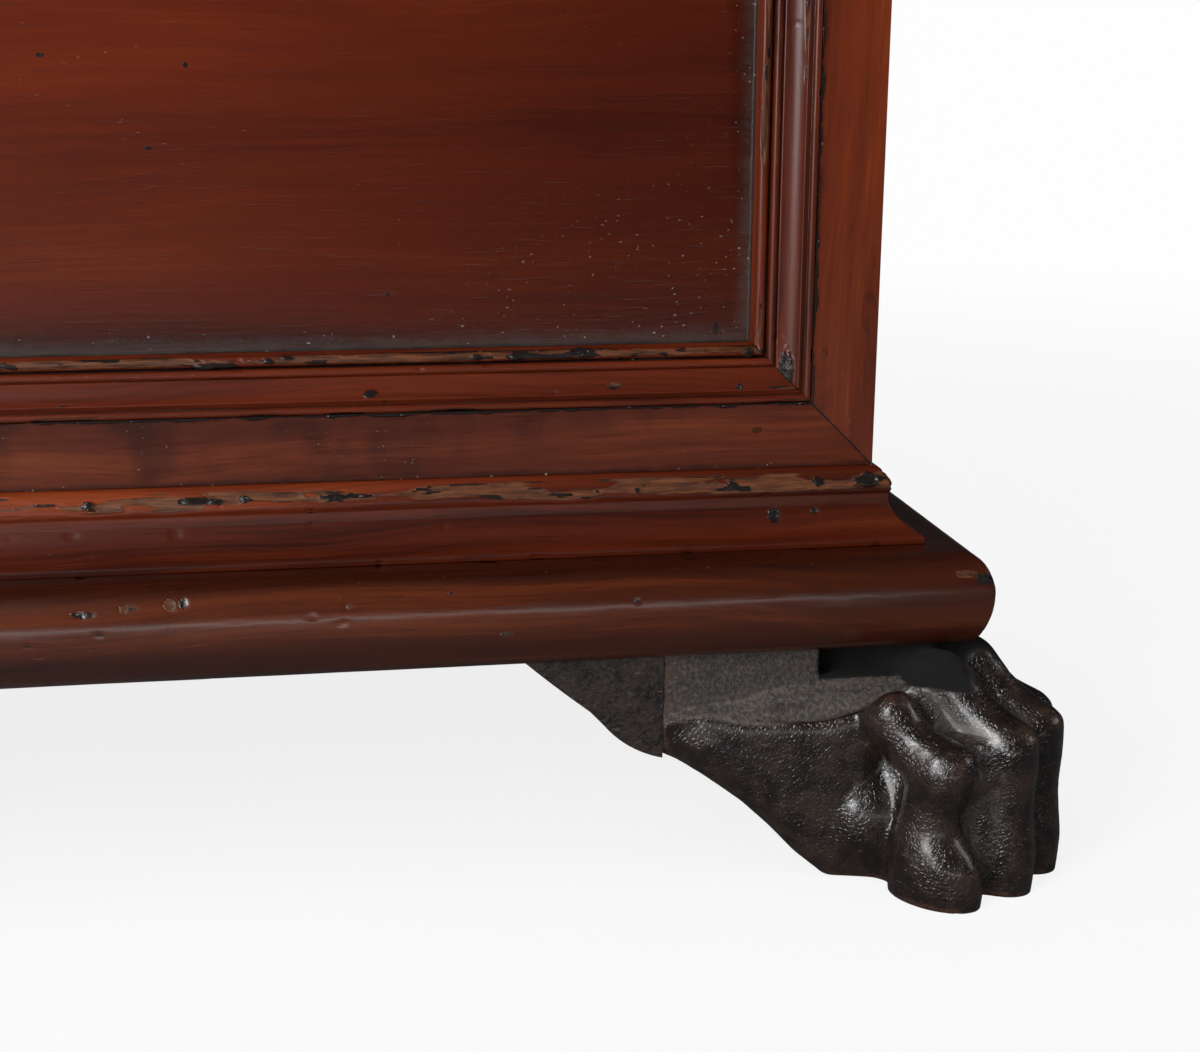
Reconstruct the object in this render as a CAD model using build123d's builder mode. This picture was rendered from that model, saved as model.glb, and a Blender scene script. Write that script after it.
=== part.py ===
"""Cassone: a long walnut chest on lion's-paw feet.

The chest stands on four carved paws with shaped wing brackets. A torus-moulded
base carries a dovetailed box whose front has a mitred frame and field moulding.
The lid swings on two strap hinges and is held by a sliding-bolt lock.

Millimetres. +X to the chest's right end, +Y to its back, +Z up. The origin lies
on the floor in the middle of the whole footprint, paws and hinge barrels included.
"""

import os
from math import cos, radians, sin, sqrt

from build123d import *

# ---------------------------------------------------------------- driving sizes
# Carcass box
carcass_length = 1480.0
carcass_depth = 525.0
wall_height = 415.0
front_board_thickness = 20.0
back_board_thickness = 20.0
end_board_thickness = 22.0
bottom_thickness = 18.0
bottom_board_count = 3

# Dovetails at the four upright corners
tail_count = 6
pin_root_width = 25.0
dovetail_slope = 0.14

# Mitred frame band and field moulding on the front
band_thickness = 14.0
band_width = 37.0
field_moulding_width = 33.0
field_moulding_lift = 1.5
field_quirk_width = 1.0
field_quirk_depth = 3.0
field_outer_bead_width = 3.4
field_outer_bead_rise = 2.3
field_outer_bead_fall = 1.5
field_slope_width = 3.6
field_hollow_level = 9.2
field_hollow_sag = 1.2
field_groove_width = 0.8
field_middle_level = 7.5
field_middle_bead_width = 4.4
field_middle_bead_rise = 2.8
field_step_width = 1.4
field_inner_level = 4.5
field_inner_bead_width = 5.6
field_inner_bead_rise = 4.0
field_edge_width = 1.4
field_edge_level = 2.0

# Base: inner frame, torus and the small moulding above it
base_rail_width = 60.0
torus_height = 54.0
torus_projection = 56.0
torus_nose = 15.5
torus_crown = 22.4
base_moulding_height = 41.0
base_moulding_projection = 25.0
base_fascia_projection = 8.2
base_fascia_height = 6.0
base_bead_height = 14.5
base_bead_bulge = 1.2
base_bead_set_back = 2.0
base_fillet_height = 3.5
base_fillet_fall = 1.0
base_fillet_step = 1.5
base_hollow_sag = 2.0

# Feet
foot_height = 130.0
toe_spacing = 35.0
toe_rounding = 0.85
toe_inner_cut = 0.3
palm_back = 38.0
arm_thickness = 40.0
arm_edge_cut = 10.0
ledge_rise = 0.3
ledge_shelf = 0.6
wing_joint = 127.0
wing_length = 77.0
wing_tip_gap = 18.5
rear_arm_setback = 28.0
notch_length = 38.0
notch_depth = 16.0
notch_width = 50.0

# Lid
lid_thickness = 28.0
lid_gap = 0.5
lid_board_overhang = 4.5
lid_front_board_width = 290.0
lid_lip = 8.0
lid_nose_radius = 9.0
lid_moulding_width = 26.5
lid_cavetto_radius = 10.0
lid_step = 3.0

# Strap hinges
hinge_from_end = 240.0
barrel_radius = 6.0
hinge_pin_radius = 3.0
hinge_pin_clearance = 0.06
hinge_iron = 3.0
strap_width = 32.0
strap_past_joint = 24.1
strap_knuckle_length = 16.0
strap_end_width = 20.0
strap_eye_radius = 15.0
strap_fit = 0.3
strap_nail_shares = (0.2, 0.56)
leaf_nail_shares = (0.2, 0.52, 0.9)
leaf_width = 44.0
leaf_length = 150.0
knuckle_gap = 0.5
barrel_clearance = 0.4
pin_head_height = 2.0
pin_head_radius = 5.0

# Lock
lock_length = 110.0
lock_height = 58.0
lock_depth = 26.0
lock_drop = 7.0
lock_plate_length = 146.0
lock_plate_thickness = 2.5
bolt_length = 62.0
bolt_height = 12.0
bolt_thickness = 7.0
bolt_clearance = 0.35
bolt_travel = 18.0
bolt_drop = 44.0
bolt_tip_gap = 1.0
bolt_chamfer = 1.5
staple_iron = 3.2
staple_eye_gap = 1.2
staple_room = 2.6
staple_plate_length = 48.0
staple_plate_width = 20.0
staple_plate_thickness = 2.5
staple_side = 30.0
staple_nail_side = 16.0
lock_nail_rise = 19.3
keyhole_radius = 6.5
keyhole_slot_width = 8.0
keyhole_slot_length = 16.0
keyhole_drop = 18.0

# Hand-forged nails
nail_shank_width = 2.8
nail_head_width = 9.0
nail_head_height = 2.2
nail_bevel_height = 1.7
nail_bevel_width = 3.2
nail_length = 15.0

# ---------------------------------------------------------------- carved paw forms
# Upper joint of a toe, in sections square to its slope: how far down the slope, how far
# out its back stands, half width and half depth.
toe_slope = 45.0
outer_toe_upper = [
    (-60.0, 100.0, 15.0, 15.0),
    (-52.0, 113.5, 16.0, 16.0),
    (-44.0, 118.5, 17.0, 17.0),
    (-27.0, 116.8, 15.5, 15.0),
    (-10.0, 122.3, 17.0, 17.5),
    (-2.0, 127.0, 18.0, 19.0),
    (6.0, 127.8, 18.0, 19.0),
    (12.0, 124.8, 17.0, 17.5),
    (17.0, 118.8, 15.5, 15.0),
]
inner_toe_upper = [
    (-60.0, 118.0, 15.0, 15.0),
    (-53.0, 133.0, 16.0, 16.0),
    (-46.0, 141.5, 17.0, 17.0),
    (-38.0, 143.0, 16.5, 16.5),
    (-20.0, 138.6, 15.5, 15.0),
    (0.0, 142.3, 17.5, 18.5),
    (9.0, 146.2, 18.0, 19.5),
    (17.0, 146.8, 17.5, 18.5),
    (24.0, 142.0, 16.0, 16.0),
]
# Lower joint and pad, in level sections: height, front, half width and half depth. The
# last one lies under the floor and is cut off.
outer_toe_lower = [
    (84.0, 94.0, 15.0, 14.0),
    (76.0, 97.0, 17.0, 17.0),
    (56.0, 89.0, 15.5, 13.0),
    (38.0, 90.0, 15.5, 13.5),
    (31.0, 97.0, 17.0, 17.0),
    (22.0, 102.5, 18.0, 19.0),
    (9.0, 104.5, 18.0, 19.0),
    (-4.0, 102.0, 17.0, 18.0),
]
inner_toe_lower = [
    (88.0, 115.0, 15.0, 15.0),
    (80.0, 117.0, 16.5, 17.0),
    (58.0, 116.5, 15.5, 15.0),
    (34.0, 117.5, 16.5, 16.0),
    (22.0, 119.0, 18.0, 18.5),
    (9.0, 118.5, 18.0, 18.5),
    (-4.0, 117.0, 17.0, 17.0),
]
# Palm, as slabs with cut corners: height, back edge, front edge, half width, corner cut.
palm_slabs = [
    (0.0, 2.0, 82.0, 55.0, 14.0),
    (46.0, -6.0, 80.0, 60.0, 17.0),
    (92.0, -24.0, 62.0, 50.0, 15.0),
    (foot_height, -palm_back, 38.0, 36.0, 10.0),
]
# Arm between palm and wing: distance from the corner, underside height, how far its
# carved flank stands out and the height of the ridge along it.
arm_stations = [
    (15.0, 1.0, 66.0, 103.0),
    (38.0, 3.0, 61.0, 97.0),
    (52.0, 13.0, 58.0, 95.0),
    (66.0, 28.0, 55.0, 94.0),
    (82.0, 44.0, 51.0, 95.0),
    (104.0, 59.0, 46.0, 98.0),
    (118.0, 66.0, 42.0, 96.0),
    (wing_joint, 70.0, arm_thickness + 0.5, 90.0),
]

# ---------------------------------------------------------------- worked-out places
half_length = carcass_length / 2
hinge_side = half_length - hinge_from_end
outer_toe_side = 1.5 * toe_spacing
inner_toe_side = 0.5 * toe_spacing
_, toe_pad_front, toe_pad_half_width, toe_pad_half_depth = outer_toe_lower[-2]
toe_pad_forward = toe_pad_front - toe_pad_half_depth
front_reach = (toe_pad_forward + outer_toe_side) / sqrt(2) + (toe_pad_half_width + toe_pad_half_depth) / 2
back_reach = barrel_clearance + 2 * barrel_radius
front_y = front_reach - (front_reach + carcass_depth + back_reach) / 2
back_y = front_y + carcass_depth
board_front_y = front_y + band_thickness
inner_front_y = board_front_y + front_board_thickness
inner_back_y = back_y - back_board_thickness
inner_half_length = half_length - end_board_thickness

carcass_bottom_z = foot_height + torus_height
band_bottom_z = carcass_bottom_z + base_moulding_height
rim_z = carcass_bottom_z + wall_height
lid_bottom_z = rim_z + lid_gap
lid_top_z = lid_bottom_z + lid_thickness

hinge_y = back_y + barrel_clearance + barrel_radius
hinge_z = lid_bottom_z + hinge_iron - barrel_radius
bolt_z = rim_z - bolt_drop
bolt_y = inner_front_y + lock_depth / 2
keyhole_z = rim_z - keyhole_drop
rear_paw_y = back_y - outer_toe_side - toe_pad_half_width
rear_corner_y = rear_paw_y - rear_arm_setback
side_wing_length = (rear_corner_y - front_y - 2 * wing_joint - wing_tip_gap) / 2

os.makedirs("parts", exist_ok=True)


def save(builder, name):
    """Label one finished piece and write it as its own node."""
    builder.part.label = name
    export_step(builder.part, f"parts/{name}.step")


def save_board(name, corner, size):
    """A plain sawn board, from its low corner and its size."""
    with BuildPart(Location(corner)) as piece:
        Box(*size, align=(Align.MIN, Align.MIN, Align.MIN))
    save(piece, name)


# ---------------------------------------------------------------- carcass
def pin_outlines(side):
    """Dovetail pins of one upright corner, seen from the front: wide at the shoulder."""
    end_x = side * half_length
    shoulder_x = side * inner_half_length
    root = pin_root_width / 2
    tip = root - dovetail_slope * end_board_thickness
    for row in range(tail_count + 1):
        middle = carcass_bottom_z + row * wall_height / tail_count
        corners = [
            (shoulder_x, middle - root),
            (end_x, middle - tip),
            (end_x, middle + tip),
            (shoulder_x, middle + root),
        ]
        yield corners if side > 0 else corners[::-1]


def cut_keyhole(from_y, to_y):
    """Keyhole through the piece being built: a round head over a slot."""
    depth = to_y - from_y
    with BuildSketch(Plane.XZ.offset(-from_y)) as keyhole:
        with Locations((0, keyhole_z)):
            Circle(keyhole_radius)
        with Locations((0, keyhole_z - keyhole_slot_length / 2)):
            Rectangle(keyhole_slot_width, keyhole_slot_length)
    extrude(keyhole.sketch, amount=-depth, mode=Mode.SUBTRACT)


def save_long_wall(name, low_y, thickness, has_keyhole):
    """Front or back board, full length, with sockets for the end boards' pins."""
    with BuildPart() as wall:
        with BuildSketch(Plane.XZ.offset(-low_y)):
            with Locations((0, carcass_bottom_z + wall_height / 2)):
                Rectangle(carcass_length, wall_height)
            for side in (-1, 1):
                for corners in pin_outlines(side):
                    Polygon(*corners, align=None, mode=Mode.SUBTRACT)
        extrude(amount=-thickness)
        if has_keyhole:
            cut_keyhole(low_y, low_y + thickness)
    save(wall, name)


def save_end_wall(name, side):
    """End board between front and back, with a row of pins at each upright edge."""
    middle_x = side * (half_length - end_board_thickness / 2)
    middle_y = (inner_front_y + inner_back_y) / 2
    with BuildPart() as wall:
        with Locations((middle_x, middle_y, carcass_bottom_z)):
            Box(
                end_board_thickness,
                inner_back_y - inner_front_y,
                wall_height,
                align=(Align.CENTER, Align.CENTER, Align.MIN),
            )
        for low_y, thickness in (
            (board_front_y, front_board_thickness),
            (inner_back_y, back_board_thickness),
        ):
            with BuildSketch(Plane.XZ.offset(-low_y)):
                for corners in pin_outlines(side):
                    Polygon(*corners, align=None)
                with Locations((0, carcass_bottom_z + wall_height / 2)):
                    Rectangle(carcass_length, wall_height, mode=Mode.INTERSECT)
            extrude(amount=-thickness)
    save(wall, name)


save_long_wall("front_board", board_front_y, front_board_thickness, has_keyhole=True)
save_long_wall("back_board", inner_back_y, back_board_thickness, has_keyhole=False)
save_end_wall("end_left", -1)
save_end_wall("end_right", 1)

bottom_board_width = (inner_back_y - inner_front_y) / bottom_board_count
for board_index in range(bottom_board_count):
    save_board(
        f"bottom_board_{board_index + 1}",
        (-inner_half_length, inner_front_y + board_index * bottom_board_width, carcass_bottom_z),
        (2 * inner_half_length, bottom_board_width, bottom_thickness),
    )


# ---------------------------------------------------------------- mouldings
def mitre(corner_x, corner_y, away):
    """Upright mitre plane through a plan corner; its normal points away from the piece."""
    return Plane(origin=(corner_x, corner_y, 0), z_dir=(*away, 0))


def mitred_strip(name, draw_profile, plane, length, mitres):
    """A moulded strip: its section on the plane, run along it and cut to its mitres."""
    with BuildPart() as strip:
        with BuildSketch(plane):
            with BuildLine():
                draw_profile()
            make_face()
        extrude(amount=length)
        for mitre_plane in mitres:
            split(bisect_by=mitre_plane, keep=Keep.BOTTOM)
    save(strip, name)


def save_three_sides(stem, draw_front, draw_side, bottom_z, reach):
    """One moulding round front and ends, mitred at the front corners, square behind."""
    front_plane = Plane((half_length + reach, front_y, bottom_z), (0, -1, 0), (-1, 0, 0))
    right_plane = Plane((half_length, back_y, bottom_z), (1, 0, 0), (0, -1, 0))
    left_plane = Plane((-half_length, front_y - reach, bottom_z), (-1, 0, 0), (0, 1, 0))
    mitred_strip(
        f"{stem}_front",
        draw_front,
        front_plane,
        carcass_length + 2 * reach,
        [mitre(half_length, front_y, (1, 1)), mitre(-half_length, front_y, (-1, 1))],
    )
    mitred_strip(
        f"{stem}_right",
        draw_side,
        right_plane,
        carcass_depth + reach,
        [mitre(half_length, front_y, (-1, -1))],
    )
    mitred_strip(
        f"{stem}_left",
        draw_side,
        left_plane,
        carcass_depth + reach,
        [mitre(-half_length, front_y, (1, -1))],
    )


# Torus of the base, a full nose that is rounder below than above
def quarter_oval(centre, half_x, half_y, start):
    """A quarter of an oval, as two arcs, anticlockwise from a start angle in degrees."""
    turns = [radians(start + share * 90) for share in (0, 0.25, 0.5, 0.75, 1)]
    points = [(centre[0] + half_x * cos(a), centre[1] + half_y * sin(a)) for a in turns]
    ThreePointArc(*points[:3])
    ThreePointArc(*points[2:])


def draw_torus():
    """Torus section: x outwards from the base frame, y up from its underside."""
    nose = (torus_projection - torus_nose, torus_height - torus_crown)
    Polyline((nose[0], torus_height), (0, torus_height), (0, 0), (nose[0], 0))
    quarter_oval(nose, torus_nose, nose[1], -90)
    quarter_oval(nose, torus_nose, torus_crown, 0)


save_three_sides("torus", draw_torus, draw_torus, foot_height, torus_projection)

# Plain rails inside the torus, which carry the box
base_bottom_z = foot_height
save_board(
    "base_rail_front",
    (-half_length, front_y, base_bottom_z),
    (carcass_length, base_rail_width, torus_height),
)
save_board(
    "base_rail_back",
    (-half_length, back_y - base_rail_width, base_bottom_z),
    (carcass_length, base_rail_width, torus_height),
)
for side_name, rail_x in (("left", -half_length), ("right", half_length - base_rail_width)):
    save_board(
        f"base_rail_{side_name}",
        (rail_x, front_y + base_rail_width, base_bottom_z),
        (base_rail_width, carcass_depth - 2 * base_rail_width, torus_height),
    )


# Base moulding over the torus: fillet, shallow cavetto, fascia and a worn bead
def draw_base_moulding(back):
    """Base moulding section: x outwards from the walls, y up from the torus."""
    top = base_moulding_height
    outer = base_moulding_projection
    fascia = base_fascia_projection
    fascia_top = top - base_bead_height
    nose = fascia + base_bead_bulge
    hollow_foot = (outer - base_fillet_step, base_fillet_height + base_fillet_fall)
    hollow_top = (fascia, fascia_top - base_fascia_height)
    hollow_middle = (
        (hollow_foot[0] + hollow_top[0]) / 2 - base_hollow_sag,
        (hollow_foot[1] + hollow_top[1]) / 2 - base_hollow_sag / 2,
    )
    bead_side = (nose, fascia_top + 0.3 * base_bead_height)
    bead_crown = (nose - 1.8 * base_bead_bulge, fascia_top + 0.62 * base_bead_height)
    bead_back = (nose - 3.8 * base_bead_bulge, fascia_top + 0.84 * base_bead_height)
    wall_top = (base_bead_set_back, top)
    Polyline(wall_top, (back, top), (back, 0), (outer, 0), (outer, base_fillet_height), hollow_foot)
    ThreePointArc(hollow_foot, hollow_middle, hollow_top)
    Line(hollow_top, (fascia, fascia_top))
    ThreePointArc((fascia, fascia_top), bead_side, bead_crown)
    ThreePointArc(bead_crown, bead_back, wall_top)


def draw_front_base_moulding():
    """The front strip also fills the depth of the band above it."""
    draw_base_moulding(-band_thickness)


def draw_side_base_moulding():
    """The end strips lie against the end boards."""
    draw_base_moulding(0.0)


save_three_sides(
    "base_moulding",
    draw_front_base_moulding,
    draw_side_base_moulding,
    carcass_bottom_z,
    base_moulding_projection,
)


# ---------------------------------------------------------------- front frame
def save_front_frame(stem, draw_profile, inset, keyhole_in_top=False):
    """Four mitred members round the front: section x outwards, y in from the edge."""
    half_x = half_length - inset
    low_z = band_bottom_z + inset
    high_z = rim_z - inset
    members = {
        "bottom": ((half_x, low_z), (-half_x, low_z), (0, 1)),
        "left": ((-half_x, low_z), (-half_x, high_z), (1, 0)),
        "top": ((-half_x, high_z), (half_x, high_z), (0, -1)),
        "right": ((half_x, high_z), (half_x, low_z), (-1, 0)),
    }
    for side_name, (start, end, inward) in members.items():
        run = Vector(end[0] - start[0], 0, end[1] - start[1])
        along = run.normalized()
        inwards = Vector(inward[0], 0, inward[1])
        start_point = Vector(start[0], board_front_y, start[1])
        with BuildPart() as member:
            with BuildSketch(Plane(start_point, (0, -1, 0), along)):
                with BuildLine():
                    draw_profile()
                make_face()
            extrude(amount=run.length)
            split(bisect_by=Plane(start_point, z_dir=inwards - along), keep=Keep.BOTTOM)
            split(bisect_by=Plane(start_point + run, z_dir=inwards + along), keep=Keep.BOTTOM)
            if keyhole_in_top and side_name == "top":
                cut_keyhole(front_y, board_front_y)
        save(member, f"{stem}_{side_name}")


def draw_band():
    """Flat band of the front frame."""
    Polyline((0, 0), (band_thickness, 0), (band_thickness, band_width), (0, band_width), close=True)


def draw_field_moulding():
    """Outer bead, arris, wide hollow and two inner beads, stepping down to the field."""
    quirk_level = band_thickness - field_quirk_depth
    bead_end = field_quirk_width + field_outer_bead_width
    arris = (band_thickness + field_moulding_lift, bead_end + field_slope_width)
    inner_end = field_moulding_width - field_edge_width
    inner_start = inner_end - field_inner_bead_width
    middle_end = inner_start - field_step_width
    middle_start = middle_end - field_middle_bead_width
    hollow_end = (field_hollow_level, middle_start - field_groove_width)
    hollow_middle = (
        (arris[0] + hollow_end[0]) / 2 - field_hollow_sag,
        (arris[1] + hollow_end[1]) / 2 - field_hollow_sag,
    )

    def bead(level, rise, end, start):
        """A bead that stands on a level, drawn from its inner edge outwards."""
        ThreePointArc((level, end), (level + rise, (end + start) / 2), (level, start))

    Polyline(
        (quirk_level, field_quirk_width),
        (quirk_level, 0),
        (0, 0),
        (0, field_moulding_width),
        (field_edge_level, field_moulding_width),
        (field_inner_level, inner_end),
    )
    bead(field_inner_level, field_inner_bead_rise, inner_end, inner_start)
    Polyline(
        (field_inner_level, inner_start), (field_inner_level, middle_end), (field_middle_level, middle_end)
    )
    bead(field_middle_level, field_middle_bead_rise, middle_end, middle_start)
    Line((field_middle_level, middle_start), hollow_end)
    ThreePointArc(hollow_end, hollow_middle, arris)
    outer_foot = (arris[0] - field_moulding_lift - field_outer_bead_fall, bead_end)
    outer_crown = (outer_foot[0] + field_outer_bead_rise, (field_quirk_width + bead_end) / 2)
    Line(arris, outer_foot)
    ThreePointArc(outer_foot, outer_crown, (quirk_level, field_quirk_width))


save_front_frame("band", draw_band, 0.0, keyhole_in_top=True)
save_front_frame("field_moulding", draw_field_moulding, band_width)


# ---------------------------------------------------------------- carved feet
up = Vector(0, 0, 1)


def faceted(rings):
    """A solid of flat facets between rings of corners, with flat ends."""
    skins = [Face(Wire.make_polygon(rings[0])), Face(Wire.make_polygon(rings[-1]))]
    for near, far in zip(rings, rings[1:]):
        for index, corner in enumerate(near):
            following = (index + 1) % len(near)
            outline = [corner, near[following], far[following], far[index]]
            skins.append(Face(Wire.make_polygon(outline)))
    return Solid(Shell(skins))


def toe_section(plane, half_width, half_depth):
    """A faceted oval on a plane: two cuts at each corner, which keep their directions."""
    cut = toe_rounding * min(half_width, half_depth)
    near_cut = toe_inner_cut * cut
    corner = [
        (half_width, half_depth - cut),
        (half_width - near_cut, half_depth - near_cut),
        (half_width - cut, half_depth),
    ]
    outline = []
    for x_side, y_side in ((1, 1), (-1, 1), (-1, -1), (1, -1)):
        quarter = [(x_side * x, y_side * y) for x, y in corner]
        outline += quarter if x_side == y_side else quarter[::-1]
    return [plane.from_local_coords(point) for point in outline]


def upper_joint(stations, side):
    """Upper joint of a toe, which slopes down and forward."""
    down = Vector(cos(radians(toe_slope)), 0, -sin(radians(toe_slope)))
    out = Vector(sin(radians(toe_slope)), 0, cos(radians(toe_slope)))
    rings = []
    for along, back, half_width, half_depth in stations:
        middle = down * along + out * (back - half_depth) + Vector(0, side, 0)
        rings.append(toe_section(Plane(middle, (0, 1, 0), down), half_width, half_depth))
    return faceted(rings)


def lower_joint(stations, side):
    """Lower joint of a toe and its pad, from level sections."""
    rings = []
    for height, front, half_width, half_depth in stations:
        plane = Plane((front - half_depth, side, height), (0, 1, 0), (0, 0, 1))
        rings.append(toe_section(plane, half_width, half_depth))
    return faceted(rings)


def palm():
    """The palm that carries the toes: level slabs with cut corners."""
    rings = []
    for height, back, front, half_width, cut in palm_slabs:
        outline = [
            (front, half_width - cut),
            (front - cut, half_width),
            (back + cut, half_width),
            (back, half_width - cut),
        ]
        outline += [(x, -y) for x, y in reversed(outline)]
        rings.append([Vector(x, y, height) for x, y in outline])
    return faceted(rings)


def arm(corner, run, outward):
    """Carved arm from palm to wing: a bulging flank under a ledge, flat behind."""
    rings = []
    for distance, underside, flank, ridge in arm_stations:
        bulge = flank - arm_thickness
        outline = [
            (0, underside),
            (flank - arm_edge_cut, underside),
            (flank, underside + arm_edge_cut),
            (flank, ridge - ledge_rise * bulge),
            (arm_thickness + ledge_shelf * bulge, ridge),
            (arm_thickness, ridge + ledge_rise * bulge),
            (arm_thickness, foot_height),
            (0, foot_height),
        ]
        rings.append([corner + run * distance + outward * out + up * height for out, height in outline])
    return faceted(rings)


def carve_paw(arms, has_notch):
    """A paw looking along +X, its origin under the corner that it carries."""
    with BuildPart() as paw:
        add(palm())
        for corner, run, outward in arms:
            add(arm(corner, run, outward))
            if has_notch:
                notch_plane = Plane(corner, outward, outward.cross(up))
                with BuildSketch(notch_plane) as notch:
                    with Locations((arm_thickness, foot_height)):
                        Rectangle(notch_width, notch_depth, align=(Align.MIN, Align.MAX))
                notch_run = notch_length if notch_plane.z_dir.dot(run) > 0 else -notch_length
                extrude(notch.sketch, amount=notch_run, mode=Mode.SUBTRACT)
        for toe_side, upper, lower in (
            (outer_toe_side, outer_toe_upper, outer_toe_lower),
            (inner_toe_side, inner_toe_upper, inner_toe_lower),
        ):
            for side in (-toe_side, toe_side):
                add(upper_joint(upper, side))
                add(lower_joint(lower, side))
        split(bisect_by=Plane.XY, keep=Keep.TOP)
    return paw.part


def save_pair(shape, stem, place):
    """Set a right-hand piece in its place and mirror it to the chest's left end."""
    with BuildPart() as right:
        add(shape.moved(place))
    save(right, f"{stem}_right")
    with BuildPart() as left:
        add(right.part)
        mirror(about=Plane.YZ, mode=Mode.REPLACE)
    save(left, f"{stem}_left")


half_turn = 1 / sqrt(2)
front_arms = [
    (Vector(0, 0, 0), Vector(-half_turn, -half_turn, 0), Vector(half_turn, -half_turn, 0)),
    (Vector(0, 0, 0), Vector(-half_turn, half_turn, 0), Vector(half_turn, half_turn, 0)),
]
rear_arms = [(Vector(0, -rear_arm_setback, 0), Vector(0, -1, 0), Vector(1, 0, 0))]
front_paw = carve_paw(front_arms, has_notch=True)
rear_paw = carve_paw(rear_arms, has_notch=False)
save_pair(front_paw, "paw_front", Location((half_length, front_y, 0), (0, 0, -45)))
save_pair(rear_paw, "paw_rear", Location((half_length, rear_paw_y, 0)))

# Wing bracket, seen from its carved face: it runs out from the corner along +X
def carve_wing(length):
    """Bracket of a given length beside an arm: a hollow, a small step and a swell."""
    foot = arm_stations[-1][1]
    rise = foot_height - foot
    kink = (wing_joint + 0.43 * length, foot + 0.35 * rise)
    step = (kink[0] + 0.1 * length, kink[1] + 0.14 * rise)
    hollow = (wing_joint + 0.24 * length, foot + 0.13 * rise)
    swell = (wing_joint + 0.75 * length, foot + 0.72 * rise)
    tip = (wing_joint + length, foot_height)
    with BuildPart() as wing:
        with BuildSketch(Plane.XZ):
            with BuildLine():
                Polyline((wing_joint, foot), (wing_joint, foot_height), tip)
                ThreePointArc((wing_joint, foot), hollow, kink)
                Line(kink, step)
                ThreePointArc(step, swell, tip)
            make_face()
        extrude(amount=arm_thickness)
    return wing.part


front_corner = (half_length, front_y, 0)
rear_corner = (half_length, rear_corner_y, 0)
side_wing = carve_wing(side_wing_length)
save_pair(carve_wing(wing_length).mirror(Plane.YZ), "wing_front", Location(front_corner))
save_pair(side_wing, "wing_side", Location(front_corner, (0, 0, 90)))
save_pair(side_wing.mirror(Plane.YZ), "wing_rear", Location(rear_corner, (0, 0, 90)))


# ---------------------------------------------------------------- lid
lid_front_y = front_y - lid_board_overhang
lid_split_y = lid_front_y + lid_front_board_width
lid_half_length = half_length + lid_board_overhang
strap_length = hinge_y - lid_split_y + strap_past_joint
strap_eye_y = hinge_y - strap_length + strap_eye_radius


def strap_outline(hinge_x, grow=0.0):
    """Strap seen from above: full width at the hinge, tapering to a round eye."""
    half_root = strap_width / 2 + grow
    half_end = strap_end_width / 2 + grow
    Polygon(
        (hinge_x - half_root, back_y),
        (hinge_x - half_end, strap_eye_y),
        (hinge_x + half_end, strap_eye_y),
        (hinge_x + half_root, back_y),
        align=None,
    )
    with Locations((hinge_x, strap_eye_y)):
        Circle(strap_eye_radius + grow)


for board_name, low_y, high_y in (
    ("front", lid_front_y, lid_split_y),
    ("rear", lid_split_y, back_y),
):
    with BuildPart() as lid_board:
        with Locations((0, low_y, lid_bottom_z)):
            Box(
                2 * lid_half_length,
                high_y - low_y,
                lid_thickness,
                align=(Align.CENTER, Align.MIN, Align.MIN),
            )
        with BuildSketch(Plane.XY.offset(lid_bottom_z)) as housings:
            for hinge_x in (-hinge_side, hinge_side):
                strap_outline(hinge_x, strap_fit)
        extrude(housings.sketch, amount=hinge_iron, mode=Mode.SUBTRACT)
    save(lid_board, f"lid_board_{board_name}")


def draw_lid_moulding():
    """Lid edge section: nose above, step and hollow below, lip over the box."""
    top = lid_lip + lid_thickness
    outer = lid_board_overhang + lid_moulding_width
    nose_x = outer - lid_nose_radius
    nose_foot = top - 2 * lid_nose_radius
    step_x = nose_x - lid_step
    step_foot = nose_foot - lid_step
    hollow_x = step_x - lid_cavetto_radius
    hollow_foot = step_foot - lid_cavetto_radius
    bend = lid_cavetto_radius / sqrt(2)
    Polyline((nose_x, top), (lid_board_overhang, top), (lid_board_overhang, 0), (hollow_x, 0))
    Line((hollow_x, 0), (hollow_x, hollow_foot))
    ThreePointArc(
        (hollow_x, hollow_foot), (step_x - bend, hollow_foot + bend), (step_x, step_foot)
    )
    Polyline((step_x, step_foot), (step_x, nose_foot), (nose_x, nose_foot))
    ThreePointArc((nose_x, nose_foot), (outer, top - lid_nose_radius), (nose_x, top))


save_three_sides(
    "lid_moulding",
    draw_lid_moulding,
    draw_lid_moulding,
    lid_bottom_z - lid_lip,
    lid_board_overhang + lid_moulding_width,
)

# ---------------------------------------------------------------- strap hinges
leaf_knuckle_length = (leaf_width - strap_knuckle_length) / 2 - knuckle_gap
pin_hole_radius = hinge_pin_radius + hinge_pin_clearance


def barrel_places(*offsets, x=0.0):
    """Places along the hinge axis, turned so that a cylinder lies along it."""
    return Locations(*[Location((x + offset, hinge_y, hinge_z), (0, 90, 0)) for offset in offsets])


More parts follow.
